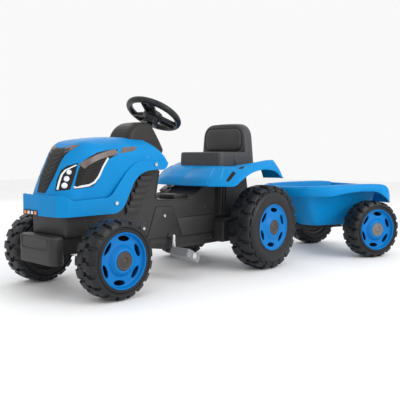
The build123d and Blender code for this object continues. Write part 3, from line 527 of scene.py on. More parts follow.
def serves(obj, material, node):
    """The piece moves and is finished with an engineering part that stays."""
    dressed(obj, material)
    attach(obj, body_of_node[node])


def stands_for(obj, material, node):
    """The piece takes the engineering part's place."""
    serves(obj, material, node)
    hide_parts(node)


def both_sides(left, material, node, replaced=True):
    """Mirrors a piece and puts both in service on the tractor; the node's side follows the piece's."""
    name = left.name.removesuffix("_left")
    for piece, side in ((left, "left"), (mirrored(left, f"{name}_right"), "right")):
        stand(piece, TRACTOR)
        (stands_for if replaced else serves)(piece, material, node.replace("left", side))


# %% [markdown]
# ## Tyres
# The tyres are blow-moulded hard plastic, hollow, with two staggered rows of stout lugs that wrap over the
# shoulder. The carcass is turned, and the faces under each lug are then pushed out together, so a lug and the
# carcass are one skin as on the real moulding.

# %% Model the tyres
FRONT_R, FRONT_HALF = 99.0, 39.0
REAR_R, REAR_HALF = 132.0, 43.0
# A lug's outer end leans in towards the tread, so the tyre is at its widest low on its wall.
LUG_DROP, LUG_SLOPE = 6.8, 0.4244
# No lug starts on the bead, this far out from the rim, nor on the narrow ridge round the middle.
BEAD_RISE, RIDGE_HALF = 10, 1.0


def make_tyre(name, carcass, full_radius, full_half, lugs, lug_rise, shoulder, steps=6, arm=4):
    """Turns a carcass and raises two staggered rows of lugs; each lug takes up arm of its steps."""
    tyre = turned(name, carcass, segments=lugs * steps)
    rim_radius = min(r for _, r in carcass)
    edit(tyre)

    def under_lug(centre, normal):
        across, out = centre.y / MM, sqrt(centre.x**2 + centre.z**2) / MM
        if out < rim_radius + BEAD_RISE or abs(across) > shoulder or abs(across) < RIDGE_HALF:
            return False
        if (normal.x * centre.x + normal.z * centre.z) / MM <= 0.2 * out:
            return False
        # The lug leans, so it starts a little later near the middle of the tread than at the shoulder.
        lean = 1 if abs(across) < shoulder * 0.45 else 0
        step = int((atan2(centre.z, centre.x) % (2 * pi)) / (2 * pi) * lugs * steps)
        return (step + lean + (steps // 2 if across > 0 else 0)) % steps < arm

    pick_faces(tyre, under_lug)
    bpy.ops.mesh.extrude_region_shrink_fatten(TRANSFORM_OT_shrink_fatten={"value": lug_rise * MM})
    bpy.ops.object.mode_set(mode="OBJECT")
    # No lug stands out past the tyre's full width or radius.
    for vertex in tyre.data.vertices:
        out = sqrt(vertex.co.x**2 + vertex.co.z**2)
        keep_in = min(1.0, full_radius * MM / out)
        shoulder_limit = full_half - LUG_DROP + LUG_SLOPE * (full_radius - min(out / MM, full_radius))
        widest = min(full_half, shoulder_limit, abs(vertex.co.y) / MM) * MM
        across = widest if vertex.co.y > 0 else -widest
        vertex.co = (vertex.co.x * keep_in, across, vertex.co.z * keep_in)
    outward(tyre)
    soften(tyre, 1.3, 2, angle=28, shade=50)
    return tyre


def mirrored_profile(outer):
    """A profile from the outer bead to the middle of the tread, with its mirror image behind it."""
    return outer + [(-y, r) for y, r in reversed(outer) if y != 0]


front_half = [
    (-36.5, 71), (-38.6, 72), (-39, 74), (-38.4, 76.5), (-35, 79), (-34.4, 81), (-37.6, 83.4), (-38, 85.4),
    (-36.4, 87.6), (-33, 90), (-27, 92), (-15, 92.6), (-2.4, 92.8), (-0.9, 93), (-0.7, 98.4), (0, 98.8),
]
rear_half = [
    (-40, 73), (-38.6, 76), (-40.6, 80), (-42.4, 86), (-43, 93), (-42.6, 100), (-41, 106), (-38, 110.5),
    (-35.4, 112.6), (-37.6, 115.4), (-37, 119.5), (-33.5, 122.4), (-26, 124.4), (-14, 125), (-2.4, 125.2),
    (-0.9, 125.4), (-0.7, 131.2), (0, 131.7),
]
front_tyre = make_tyre("front_tyre", mirrored_profile(front_half), FRONT_R, FRONT_HALF, 18, 6.2, 37.4)
rear_tyre = make_tyre("rear_tyre", mirrored_profile(rear_half), REAR_R, REAR_HALF, 20, 6.7, 37.6)
print("tyres:", [len(t.data.polygons) for t in (front_tyre, rear_tyre)], "faces")

# %% [markdown]
# ## Rims and hub caps
# Each rim is a deep dish with a stepped boss, pierced near its edge by six lens-shaped slots. The dish is
# turned as one closed wall, and the slots are cut through it by stretched cylinders, so their walls show
# real thickness.


# %% Model the rims and caps
SLOTS, FIRST_SLOT = 6, 82
SLOT_CIRCLE, SLOT_LONG, SLOT_WIDE = 54.5, 36, 14


def make_rim(name, profile):
    rim = turned(name, profile, segments=128)
    deselect_all()
    cutters = []
    for k in range(SLOTS):
        angle = radians(FIRST_SLOT + 360 / SLOTS * k)
        spot = Vector((SLOT_CIRCLE * cos(angle), -20, SLOT_CIRCLE * sin(angle))) * MM
        bpy.ops.mesh.primitive_cylinder_add(vertices=40, radius=1, depth=60 * MM, location=spot)
        cutter = called("slot_cutter")
        cutter.matrix_world = (
            Matrix.Translation(spot) @ Matrix.Rotation(-angle, 4, "Y") @ Matrix.Rotation(pi / 2, 4, "X")
            @ Matrix.Diagonal((SLOT_WIDE / 2 * MM, SLOT_LONG / 2 * MM, 1, 1))
        )
        cutters.append(cutter)
    cutter = joined("slot_cutters", *cutters)
    only(cutter)
    bpy.ops.object.transform_apply(location=True, rotation=True, scale=True)
    carve(rim, cutter)
    soften(rim, 0.7, 2, angle=40, shade=40)
    return rim


front_dish = [
    (-38, 70.6), (-39, 69.8), (-39, 68.4), (-37.6, 67), (-33, 66), (-28.5, 64.6), (-26.8, 62.4), (-26.4, 59),
    (-26, 41), (-26.8, 39.4), (-28.4, 38.2), (-33, 33), (-36.6, 29.4), (-37.8, 27.8), (-38, 26), (-37.6, 24.4),
    (-34.8, 23.6), (-34.6, 6.2), (35, 6.2), (35, 13), (-24, 14), (-24, 28), (-22.6, 37),
    (-22.4, 44), (-22.6, 60), (-23.4, 66.6), (34, 67), (35, 68), (35, 70.6),
]
rear_dish = [
    (-39, 72.6), (-40.2, 71.8), (-40.2, 70), (-39, 69), (-37, 67.6), (-35.4, 65), (-35, 60), (-34.8, 40),
    (-35.6, 38.4), (-38.4, 34), (-41, 29.6), (-42, 28), (-42.6, 26.4), (-42.6, 24.4), (-39, 23.6),
    (-38.8, 6.2), (39, 6.2), (39, 13), (-32, 14), (-32, 28), (-31.4, 37),
    (-31.2, 42), (-31.2, 62), (-32, 68.6), (38, 69), (39, 70), (39, 72.6),
]
front_rim = make_rim("front_rim", front_dish)
rear_rim = make_rim("rear_rim", rear_dish)


# The back of each wheel is closed by a black moulding, whose steps show on the wheels across the tractor.
def make_back(name, reach, edge, tube):
    """A stepped ring, from the flange that covers the rim's inner edge down to the bearing."""
    steps = [
        (reach + 0.2, tube), (reach + 0.2, edge), (reach + 1.1, edge - 0.4), (reach + 1.1, edge - 6), (33, 64),
        (32, 62), (27, 60), (26, 52), (25.4, 50), (18, 47), (17, 40), (17.4, 31), (25, 29), (26, 27), (26, 18),
        (25, 13.6), (12, 13.6), (9, 30), (9, 58), (8, tube),
    ]
    back = turned(name, steps, segments=96)
    soften(back, 0.5, 2, angle=30, shade=40)
    return back


front_back = make_back("front_back", 35, 71.3, 66.6)
rear_back = make_back("rear_back", 39, 73.2, 68.6)


# A cap's face lies this far inside the tyre's side.
CAP_INSET = 0.6


def make_cap(name, face):
    """A turned cap: a raised edge, a ring-shaped groove and a domed middle."""
    steps = [
        (3.2, 0.1), (3.2, 22.8), (0.6, 23.2), (-0.2, 22.4), (-0.5, 21), (0.2, 19.6), (0.3, 14.5), (-0.6, 13.4),
        (-1.6, 12.4), (-1.7, 11), (-0.9, 9.8), (0.6, 9.2), (0.7, 7.4), (-0.4, 6.4), (-1.2, 4.6), (-1.5, 0.1),
    ]
    cap = turned(name, [(face + y, r) for y, r in steps], segments=72)
    soften(cap, 0.3, 2, angle=40)
    return cap


front_cap = make_cap("front_cap", -FRONT_HALF + CAP_INSET)
rear_cap = make_cap("rear_cap", -REAR_HALF + CAP_INSET)

front_set = (front_tyre, front_rim, front_cap, front_back)
rear_set = (rear_tyre, rear_rim, rear_cap, rear_back)
for side, half_turn in (("left", 0), ("right", pi)):
    for axle, (tyre, rim, cap, back), heading in (
        ("front", front_set, 0), ("rear", rear_set, 0), ("trailer", front_set, TRAILER_TURN)
    ):
        facing = Matrix.Rotation(heading + half_turn, 4, "Z")
        place = Matrix.Translation(middle(f"{axle}_tyre_{side}")) @ facing
        stands_for(copied(tyre, f"{axle}_tyre_skin_{side}", place), tyre_black, f"{axle}_tyre_{side}")
        stands_for(copied(rim, f"{axle}_dish_{side}", place), blue_rim, f"{axle}_rim_{side}")
        hub = copied(cap, f"{axle}_hub_{side}", place)
        if axle == "trailer":
            serves(hub, cap_grey, f"trailer_rim_{side}")
        else:
            stands_for(hub, cap_plastic, f"{axle}_cap_{side}")
        serves(copied(back, f"{axle}_back_{side}", place), back_plastic, f"{axle}_tyre_{side}")
discard(front_tyre, rear_tyre, front_rim, rear_rim, front_cap, rear_cap, front_back, rear_back)
print("wheels stand at", [tuple(round(v, 3) for v in middle(f"front_tyre_{s}")) for s in ("left", "right")])

# %% [markdown]
# ## Steering wheel
# The rider holds a thick ring on three broad spokes. The spokes are channels, hollow below, which shows
# from the front of the tractor because the wheel leans back. Hub and collar step down to the column.

# %% Model the steering wheel
RING_R, GRIP_R = 77.0, 9.4
# A spoke's outer end, beyond this place, spreads where it meets the ring.
SPREAD_FROM = 60
deselect_all()
bpy.ops.mesh.primitive_torus_add(
    major_radius=RING_R * MM, minor_radius=GRIP_R * MM, major_segments=112, minor_segments=24
)
ring = called("steering_ring")
spokes = []
for k in range(3):
    turn = Matrix.Rotation(radians(90 + 120 * k), 4, "Z")
    web = block("spoke_web", (45, 0, -2), (56, 30, 5), 1.6)
    ribs = [block("spoke_rib", (45, y, -6.5), (56, 5, 11), 1.5) for y in (-13, 13)]
    spoke = joined("spoke", web, *ribs)
    edit(spoke, "VERT")
    net = bmesh.from_edit_mesh(spoke.data)
    for vertex in net.verts:
        vertex.select_set(vertex.co.x > SPREAD_FROM * MM)
    bmesh.update_edit_mesh(spoke.data)
    bpy.ops.transform.resize(value=(1, 1.25, 0.9), center_override=(0, 0, -0.004))
    bpy.ops.object.mode_set(mode="OBJECT")
    spokes.append(stand(spoke, turn))
hub = turned(
    "steering_hub",
    [(3.5, 15.6), (4.5, 16.4), (4.5, 24), (2.5, 28), (-2, 30), (-12, 29.5), (-14, 27), (-15, 23), (-27, 20),
     (-28, 22.5), (-34, 22.5), (-35, 21), (-35, 9), (-4, 9), (-4, 15.6)],
    segments=64,
)
stand(hub, Matrix.Rotation(pi / 2, 4, "X"))
soften(hub, 0.8, 2)
steering = joined("steering_wheel_skin", ring, hub, *spokes)
smooth(steering, 40)
turn_joint = joints["steering_turn"]
WHEEL_CENTRE = Vector(turn_joint["pos_m"])
COLUMN_TILT = atan2(turn_joint["axis"][0], turn_joint["axis"][2])
stand(steering, Matrix.Translation(WHEEL_CENTRE) @ Matrix.Rotation(COLUMN_TILT, 4, "Y"))
stands_for(steering, wheel_black, "steering_wheel")
print("steering wheel leans back", round(degrees(COLUMN_TILT), 1), "degrees")

# %% [markdown]
# ## Bonnet
# The bonnet is one hollow moulding with two levels: an upper form that slopes down to the nose, and a lower
# band that stands proud of it and runs back as a thin shoulder to the dash. Each level is a soft form: its
# side view, its end view and a bevelled front corner are blended, and a fine net is pressed onto the
# result. The two nets are then hollowed, cut to their outlines in side view, and laid one over the other.

# %% State the bonnet's two forms
BONNET_HALF, BAND_HALF = 92.0, 96.0
BONNET_BOTTOM = 204.0
BONNET_WALL = 3.5

crest = [(-105.5, 150), (-105.2, 204), (-101, 258), (-82, 306), (-60, 348)]
crest += arc((-60, 348), (-34.5, 379), (0, 397), 6)
crest += arc((0, 397), (100, 409), (200, 405), 8)
crest += [(262, 340), (262, 150), (-105.5, 150)]
section = [(-BONNET_HALF, 120), (-BONNET_HALF, 338)]
section += arc((-BONNET_HALF, 338), (-86.5, 371), (-66, 391), 6)
section += arc((-66, 391), (0, 411), (66, 391), 8)
section += arc((66, 391), (86.5, 371), (BONNET_HALF, 338), 6)
section += [(BONNET_HALF, 120), (-BONNET_HALF, 120)]

# The front corner is cut off by a leaning plane through these three points.
corner = [np.array(p, float) for p in ((-101, 44, 258), (-58, 92, 258), (-60, 44, 348))]
corner_normal = np.cross(corner[1] - corner[0], corner[2] - corner[0])
corner_normal /= np.linalg.norm(corner_normal) * np.sign(corner_normal[1])


def upper_form(p):
    side = beyond(p[:, 0], p[:, 2], crest)
    end = beyond(p[:, 1], p[:, 2], section)
    mirrored_y = np.column_stack((p[:, 0], np.abs(p[:, 1]), p[:, 2]))
    chamfer = (mirrored_y - corner[0]) @ corner_normal
    return soft_max(soft_max(side, end, 12), chamfer, 18)


band_plan = [(BAND_HALF, 270), (BAND_HALF, -84), (78, -106), (0, -109.5), (-78, -106), (-BAND_HALF, -84),
             (-BAND_HALF, 270), (BAND_HALF, 270)]


def band_form(p):
    """The band's walls stand upright and lean in by a hair towards the top."""
    lean = (p[:, 2] - BONNET_BOTTOM) * 0.012
    plan = beyond(p[:, 1], p[:, 0], band_plan) + lean
    return soft_max(plan, np.maximum(p[:, 2] - 346, 150 - p[:, 2]), 6)


bonnet_edge = [(-140, BONNET_BOTTOM), (48, BONNET_BOTTOM)]
bonnet_edge += arc((48, BONNET_BOTTOM), (82, 213), (100, 236), 8) + [(118, 268)]
bonnet_edge += arc((118, 268), (142, 299), (190, 315), 8) + [(222, 318)]
bonnet_edge += arc((222, 318), (248, 322), (255, 338), 6)
bonnet_back = [(243, 358), (228, 378), (205, 404), (190, 425)]
shoulder = [(240, 341), (146, 340), (128, 333), (102, 312), (62, 266)]
shoulder += arc((62, 266), (47, 251), (22, 246), 5) + [(-70, 243), (-92, 257), (-140, 257)]
print("bonnet outline has", len(bonnet_edge + bonnet_back), "points, its band", len(bonnet_edge + shoulder))

# %% Press, hollow and cut the bonnet
WAY_IN = (np.array((-90, -110, 150.0)), np.array((250, 110, 415.0)))


def hollow_panel(name, form, outline, cuts):
    """A pressed form made hollow, and cut to its outline in side view."""
    panel = pressed(name, form, *WAY_IN, cuts=cuts)
    carve(panel, pressed("panel_cavity", lambda p: form(p) + BONNET_WALL, *WAY_IN, cuts=cuts // 2))
    carve(panel, prism("panel_outline", outline, -130, 130), "INTERSECT")
    return panel


upper = hollow_panel("bonnet_upper", upper_form, bonnet_edge + bonnet_back + [(-140, 425)], 72)
carve(upper, block("dash_opening", (205 + 146 / 2, 0, 400), (146, 100, 160)))
band = hollow_panel("bonnet_band", band_form, bonnet_edge + shoulder, 72)
bonnet = joined("bonnet_skin", upper, band)
outward(bonnet)
soften(bonnet, 0.8, 2, angle=42, shade=32)
stand(bonnet, TRACTOR)
stands_for(bonnet, blue_shell, "bonnet")
print("bonnet has", len(bonnet.data.polygons), "faces")

# %% [markdown]
# ## Trims on the bonnet
# The grille, lamps and vents are thin mouldings that lie in the skin. Each is drawn flat, in side view or
# in end view, and its outline is filled with rings that slide onto the form, so it follows every curve of
# the bonnet. Ribs and mesh are real relief. Each stands in a slightly larger dark bed, which reads as its
# shadow gap.


# %% Lay the trims
# Trims slide onto the form from this place, outside it on the left or in front.
OUTSIDE = -130


def side_trim(name, material, outline, node, height, relief, rings, steps, replaced=False):
    """The same trim on both sides of the bonnet."""
    left = inlay(f"{name}_left", upper_form, outline, 1, OUTSIDE, height, relief, rings, steps)
    soften(left, 0.25, 1, angle=60)
    both_sides(left, material, node, replaced)


def wave(value, pitch):
    """A rounded rib: 0 in the groove and 1 on the rib."""
    return 0.5 - 0.5 * np.cos(2 * pi * value / pitch)


def mesh_relief(p):
    """Slanting mesh: rows of small ribs that cross."""
    return 0.7 * wave(p[:, 2] - 0.2 * p[:, 0], 6.5) + 0.35 * wave(p[:, 0] + 0.6 * p[:, 2], 5.0)


vent_outline = [(-37, 328), (-29, 341), (-16, 351), (8, 363), (44, 370), (79, 373), (66, 357), (46, 351),
                (28, 328), (15, 300), (4, 285), (-8, 277), (-58, 272), (-50, 297), (-43, 316)]
vent_line = [(-57.5, 276.5), (-38, 278.5), (-17, 281), (-1, 288), (12, 302), (25, 327), (41, 350)]
brow_line = [(-34, 327), (-27, 334), (-12, 343), (12, 353), (42, 361), (72, 365.5)]
slash_outline = [(83, 361), (97, 377), (150, 381), (137, 370)]
lamp_outline = [(-90, 268), (-80, 297), (-69, 319), (-58, 330), (-39, 337), (-49, 310), (-58, 288), (-66, 271)]
lamp_line = [(-86.5, 271), (-79, 291), (-71.5, 308), (-63, 319.5), (-43, 332)]


# A strip reaches this far into the skin, so no gap can show under it.
STRIP_DEPTH = 1.5


def strip(points, width):
    """A narrow outline along a line of points, in the flat."""
    line = np.array(points, dtype=float)
    along = np.gradient(line, axis=0)
    across = np.column_stack((-along[:, 1], along[:, 0]))
    across /= np.linalg.norm(across, axis=1, keepdims=True)
    return line + across * width / 2, line - across * width / 2


def side_strip(name, material, points, width, node, height, replaced=False):
    """A raised strip that follows a line on both sides of the form, closed underneath."""
    one, other = strip(points, width)
    rows = []
    for edge, lift in ((one, -STRIP_DEPTH), (one, height), (other, height), (other, -STRIP_DEPTH)):
        row = onto(upper_form, np.insert(edge, 1, 0, axis=1), 1, OUTSIDE)
        row[:, 1] -= lift
        rows.append(row)
    left = ring_loft(f"{name}_left", [[row[k] for row in rows] for k in range(len(points))])
    soften(left, 0.3, 1, angle=50)
    both_sides(left, material, node, replaced)


side_trim("vent_mesh", trim_dark, vent_outline, "side_vents", 0.7, mesh_relief, 34, 12, replaced=True)
side_trim("slash_insert", trim_bronze, slash_outline, "side_vents", 0.8, None, 6, 4)
side_strip("vent_silver", trim_silver, vent_line, 5.6, "vent_trims", 2.2, replaced=True)
side_trim("lamp_bed", trim_dark, lamp_outline, "headlamps", 0.8, None, 10, 5, replaced=True)
side_strip("vent_brow", trim_bronze, brow_line, 14, "side_vents", 3.5)
side_strip("lamp_edge", trim_white, lamp_line, 2.3, "headlamps", 2.0)

# The three lamps are shallow domes that sit square to the skin.
for k, (x, z, radius) in enumerate(((-58.5, 314, 5.4), (-66, 297.5, 6.0), (-73, 281, 6.4))):
    spot = onto(upper_form, [(x, 0, z)], 1, OUTSIDE)[0]
    slope = np.array([
        upper_form(np.array([spot + d]))[0] - upper_form(np.array([spot - d]))[0] for d in np.eye(3) / 2
    ])
    outwards = Vector(slope).normalized()
    facing = Vector((0, 1, 0)).rotation_difference(outwards).to_matrix().to_4x4()
    for name, material, profile in (
        ("lamp_ring", trim_silver,
         [(-2, radius - 1), (-2, radius + 1.2), (1.2, radius + 1.2),
          (1.8, radius + 0.6), (1.2, radius - 0.4)]),
        ("lamp_lens", lamp_face,
         [(-2, 0.05), (-2, radius), (1, radius), (2, radius * 0.85), (3, radius * 0.5), (3.4, 0.05)]),
    ):
        lens = turned(f"{name}_{k}_left", profile, segments=36)
        smooth(lens, 50)
        stand(lens, Matrix.Translation(Vector(spot) * MM) @ facing)
        both_sides(lens, material, "headlamp_lenses")
print("headlamp lenses in place")

# %% Lay the grille and the front lamp
half_grille = [(18, 262), (23, 276), (31, 304), (32, 337), (37, 357), (46, 370)]
grille_outline = [(-y, z) for y, z in half_grille] + [(-38, 378), (0, 375), (38, 378)] + half_grille[::-1]


def chevrons(p):
    """Chevrons that point down, deeper towards the bottom."""
    fall = p[:, 2] - 0.42 * np.abs(p[:, 1])
    return 1.1 * wave(fall, 12.5) * np.clip((p[:, 2] - 262) / 20, 0.2, 1)


grille = inlay("grille_ribs", upper_form, grille_outline, 0, OUTSIDE, 0.7, chevrons, 40, 8)
smooth(grille, 55)
stand(grille, TRACTOR)
stands_for(grille, trim_dark, "bonnet_grille")
for side, sign in (("left", -1), ("right", 1)):
    tip = [(sign * 30, 362), (sign * 47, 369), (sign * 61, 383), (sign * 44, 383), (sign * 22, 376)]
    piece = inlay(f"grille_tip_{side}", upper_form, tip, 0, OUTSIDE, 1.3, None, 8, 5)
    soften(piece, 0.25, 1, angle=60)
    stand(piece, TRACTOR)
    serves(piece, trim_bronze, "bonnet_grille")

housing = block("front_lamp_housing", (-109.2, 36, 210.5), (3.4, 66, 13), 1.2)
edit(housing)
pick_faces(housing, lambda c, n: n.x < -0.9)
bpy.ops.mesh.inset(thickness=1.6 * MM)
bpy.ops.transform.translate(value=(1.0 * MM, 0, 0))
bpy.ops.object.mode_set(mode="OBJECT")
stand(housing, TRACTOR)
stands_for(housing, trim_dark, "indicator_lamps")
for k in range(4):
    cell = block(f"front_lamp_{k}", (-109.6, 12 + 16 * k, 210.5), (2.6, 10, 8.4), 1.0)
    stand(cell, TRACTOR)
    serves(cell, lamp_amber if k in (0, 3) else trim_silver, "indicator_lamps")
print("grille and front lamp in place")

# %% [markdown]
# ## Dash cowl
# A small hood over the steering column, domed at the front, with a flat that falls away towards the rider.
# It is the same kind of soft form as the bonnet, from a side view and an end view.

# %% Model the dash cowl
DASH_HALF = 48.0
# The collar stands on the cowl, this far down the column from the steering wheel.
COLLAR_DOWN = 66
cowl_side = [(148, 352), (148, 400)] + arc((148, 400), (170, 438), (214, 451), 8)
cowl_side += arc((226, 450), (240, 446), (250, 434), 4) + [(288, 386), (289, 378), (276, 352), (148, 352)]


def cowl_form(p):
    side = beyond(p[:, 0], p[:, 2], cowl_side)
    wall = np.abs(p[:, 1]) - DASH_HALF + np.maximum(p[:, 2] - 400, 0) * 0.12
    return soft_max(side, wall, 16)


cowl = pressed("cowl_skin", cowl_form, (148, -48, 352), (291, 48, 450), cuts=44)
collar_steps = [(-26, 21), (6, 21), (8, 19.5), (8, 11), (5, 10.2), (-26, 10.2)]
collar = turned("column_collar", collar_steps, segments=48)
stand(collar, Matrix.Rotation(pi / 2, 4, "X"))
column_point = (WHEEL_CENTRE - ORIGIN) - Vector((sin(COLUMN_TILT), 0, cos(COLUMN_TILT))) * COLLAR_DOWN * MM
ON_COLUMN = Matrix.Translation(column_point) @ Matrix.Rotation(COLUMN_TILT, 4, "Y")
stand(collar, ON_COLUMN)
smooth(cowl, 40)
smooth(collar, 40)
stand(collar, TRACTOR)
serves(collar, dash_plastic, "column_bearings")
shaft = turned("cowl_bore", [(-90, 0.1), (-90, 14), (60, 14), (60, 0.1)], segments=40)
stand(shaft, Matrix.Rotation(pi / 2, 4, "X"))
stand(shaft, ON_COLUMN)
carve(cowl, shaft)
stand(cowl, TRACTOR)
stands_for(cowl, dash_plastic, "dash_cowl")

# %% [markdown]
# ## Deck and mudguards
# The deck is a thin moulding under the seat that grows into a mudguard over each rear wheel. Its shape is
# given by cross-sections along the tractor, read across from the middle to the lower lip. Between them the
# sections are eased, and each is drawn a second time a wall's thickness lower for the underside.

# %% Model the mudguards
axle = middle("rear_axle")
AXLE_X = (axle.x - ORIGIN.x) / MM
DECK_Z = (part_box("seat")[0].z / MM) - 0.3
WING_WALL = 3.6
# Each section: place along X from the axle, then (across, height from the deck) from the middle to the lip.
wing_sections = [
    (-187, [(0, -57), (60, -57), (96, -56), (108, -56), (113, -56.4), (116.5, -57)]),
    (-181, [(0, -44), (66, -44), (104, -47), (116, -52), (124, -55), (128, -57.5)]),
    (-160, [(0, -24), (78, -24), (114, -31), (136, -42), (151, -51), (160, -57.5)]),
    (-138, [(0, -9), (84, -9), (122, -18), (148, -33), (170, -48), (180, -57)]),
    (-116, [(0, 0), (92, 0), (130, -5), (156, -18), (175, -33), (183.5, -45)]),
    (-84, [(0, 0), (104, 0), (140, 0), (163, -6), (178, -17), (184.5, -29)]),
    (-62, [(0, 0), (106, 0), (142, 5), (166, 0), (180, -11), (184.8, -20)]),
    (-20, [(0, 0), (106, 0), (144, 10), (168, 12), (182, -3), (184.8, -12)]),
    (24, [(0, 0), (106, 0), (146, 14), (170, 18), (182.5, 3), (184.8, -11)]),
    (60, [(0, 0), (106, 0), (148, 17), (172, 20), (182.5, 3), (184.8, -17)]),
]
tail_sections = [
    (60, [(102, 0), (106, 1), (148, 17), (172, 20), (182.5, 3), (184.8, -17)]),
    (74, [(102, -3), (106, -2), (148, 9), (172, 11), (182.5, -3), (184.8, -24)]),
    (88, [(102, -10), (106, -9), (148, -6), (172, -5), (182.5, -16), (184.8, -34)]),
    (103.5, [(102, -38), (106, -37.6), (148, -37), (172, -37), (182.5, -37.5), (184.6, -39)]),
]


def places_and_rows(sections):
    return (np.array([s[k] for s in sections], float) for k in (0, 1))


def eased(sections, steps):
    """Sections at even places in between, along a smooth curve through the given ones."""
    places, rows = places_and_rows(sections)
    slopes = np.gradient(rows, places, axis=0)
    out = []
    for x in np.linspace(places[0], places[-1], steps):
        k = min(np.searchsorted(places, x, side="right") - 1, len(places) - 2)
        span = places[k + 1] - places[k]
        t = (x - places[k]) / span
        h = (2 * t**3 - 3 * t**2 + 1, t**3 - 2 * t**2 + t, -2 * t**3 + 3 * t**2, t**3 - t**2)
        row = h[0] * rows[k] + h[1] * span * slopes[k] + h[2] * rows[k + 1] + h[3] * span * slopes[k + 1]
        out.append((x, row))
    return out


def wing_shell(name, sections, steps):
    """The top read outwards and the underside read back, so that each section is a closed outline."""
    rings = []
    for x, row in eased(sections, steps):
        turn = np.gradient(row, axis=0)
        normal = np.column_stack((-turn[:, 1], turn[:, 0]))
        normal /= np.linalg.norm(normal, axis=1, keepdims=True)
        under = row - normal * WING_WALL
        ring = np.vstack((row, under[::-1]))
        rings.append(np.column_stack((np.full(len(ring), AXLE_X + x), ring[:, 0], DECK_Z + ring[:, 1])))
    return ring_loft(name, rings)


half_deck = wing_shell("deck_half", wing_sections, 44)
tail = wing_shell("deck_tail", tail_sections, 14)
wing_right = joined("deck_skin_right", half_deck, tail)
soften(wing_right, 1.0, 2, angle=24, shade=24)
wing_left = mirrored(wing_right, "deck_skin_left")
for piece, side in ((wing_left, "left"), (wing_right, "right")):
    stand(piece, TRACTOR)
    stands_for(piece, blue_shell, f"mudguard_{side}")


def wing_height(x, y):
    """How high the mudguard's top stands at a place."""
    places, rows = places_and_rows(wing_sections)
    across, up = ([np.interp(x - AXLE_X, places, column) for column in rows[:, :, axis].T] for axis in (0, 1))
    return DECK_Z + np.interp(abs(y), across, up)


SLOT_STEPS, SLOT_RISE, SLOT_DEPTH = 24, 0.9, 1.6


def slot_inlay(name, start, end, width):
    """A long trim that lies on the mudguard between two places in plan, and tapers to both ends."""
    (x0, y0), (x1, y1) = start, end
    length = sqrt((x1 - x0) ** 2 + (y1 - y0) ** 2)
    ux, uy = (x1 - x0) / length, (y1 - y0) / length
    rings = []
    for t in np.arange(SLOT_STEPS + 1) / SLOT_STEPS:
        half = width / 2 * sqrt(max(1 - (2 * t - 1) ** 6, 0.02))
        cx, cy = x0 + (x1 - x0) * t, y0 + (y1 - y0) * t
        edge = [(cx - uy * half, cy + ux * half), (cx + uy * half, cy - ux * half)]
        tops = [(x, y, wing_height(x, y) + SLOT_RISE) for x, y in edge]
        rings.append(tops + [(x, y, z - SLOT_RISE - SLOT_DEPTH) for x, y, z in tops[::-1]])
    piece = ring_loft(name, rings)
    soften(piece, 0.3, 1, angle=40)
    return piece


# The two crease ridges are raised and take the lighter blue, a painted highlight along each crease.
for name, start, end, width, finish in (
    ("wing_slot_side", (AXLE_X - 149, 155), (AXLE_X - 70, 160), 10, trim_dark),
    ("wing_slot_rear", (AXLE_X + 30, 126), (AXLE_X + 40, 166), 13, trim_bronze),
    ("wing_crease_front", (AXLE_X - 184.5, 108), (AXLE_X - 126, 88), 2.6, blue_painted_highlight),
    ("wing_crease_side", (AXLE_X - 157, 138), (AXLE_X - 112, 115), 2.6, blue_painted_highlight),
):
    right = slot_inlay(name + "_right", start, end, width)
    left = mirrored(right, name + "_left")
    for piece, side in ((left, "left"), (right, "right")):
        stand(piece, TRACTOR)
        if finish is blue_painted_highlight:
            serves(piece, finish, f"mudguard_{side}")
        else:
            stands_for(piece, finish, "mudguard_inlays")
print("mudguards", len(wing_left.data.polygons), "faces each")

# %% [markdown]
# ## Seat
# The seat is a hollow moulding: a pan with a broad dished top, and a backrest with a raised pad inside a
# groove. Each is drawn through a row of outlines. The pan's run up its flanks, over its edge and down into
# the dish. The backrest's run from back to front, where a groove is then cut for the raised pad to stand
# in.

# %% Model the seat
seat_low, seat_high = ((corner_point - ORIGIN) / MM for corner_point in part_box("seat"))
SEAT_FRONT, SEAT_BACK = seat_low.x, seat_high.x
SEAT_BASE, SEAT_PAN_TOP, BACK_TOP = seat_low.z, 368.0, seat_high.z
# The pan's shoulder starts this far from its front, over this length, and widens each side by this much.
SHOULDER_AT, SHOULDER_LONG, SHOULDER_WIDE = 62, 9, 9


def seat_half(x):
    """The pan is wider behind a small shoulder than in front of it."""
    back = x - SEAT_FRONT
    rise = np.clip((back - SHOULDER_AT) / SHOULDER_LONG, 0, 1)
    before = 3 * back / SHOULDER_AT * (1 - rise)
    behind = rise * (back - SHOULDER_AT - SHOULDER_LONG) / 24
    return 91 + before + rise * rise * (3 - 2 * rise) * SHOULDER_WIDE + behind


def ray_ring(heart, reach, depth, height, count=240):
    """A level ring: each point lies where a ray from the heart leaves the outline, where depth becomes 0."""
    angles = np.arange(count) * 2 * pi / count
    rays = np.column_stack((np.cos(angles), np.sin(angles)))
    far = last_place(count, 0, reach, lambda place: depth(*(heart + rays * place[:, None]).T) < 0)
    points = heart + rays * far[:, None]
    z = height(points[:, 0]) if callable(height) else np.full(count, float(height))
    return np.column_stack((points, z))


def plan_ring(z, inset, corner):
    """The pan's rounded plan at a height."""
    def depth(x, y):
        ends = soft_max(SEAT_FRONT - x, x - SEAT_BACK, 1)
        return soft_max(np.abs(y) - seat_half(x), ends, corner) + inset

    return ray_ring(np.array([(SEAT_FRONT + SEAT_BACK) / 2, 0.0]), 300, depth, z)


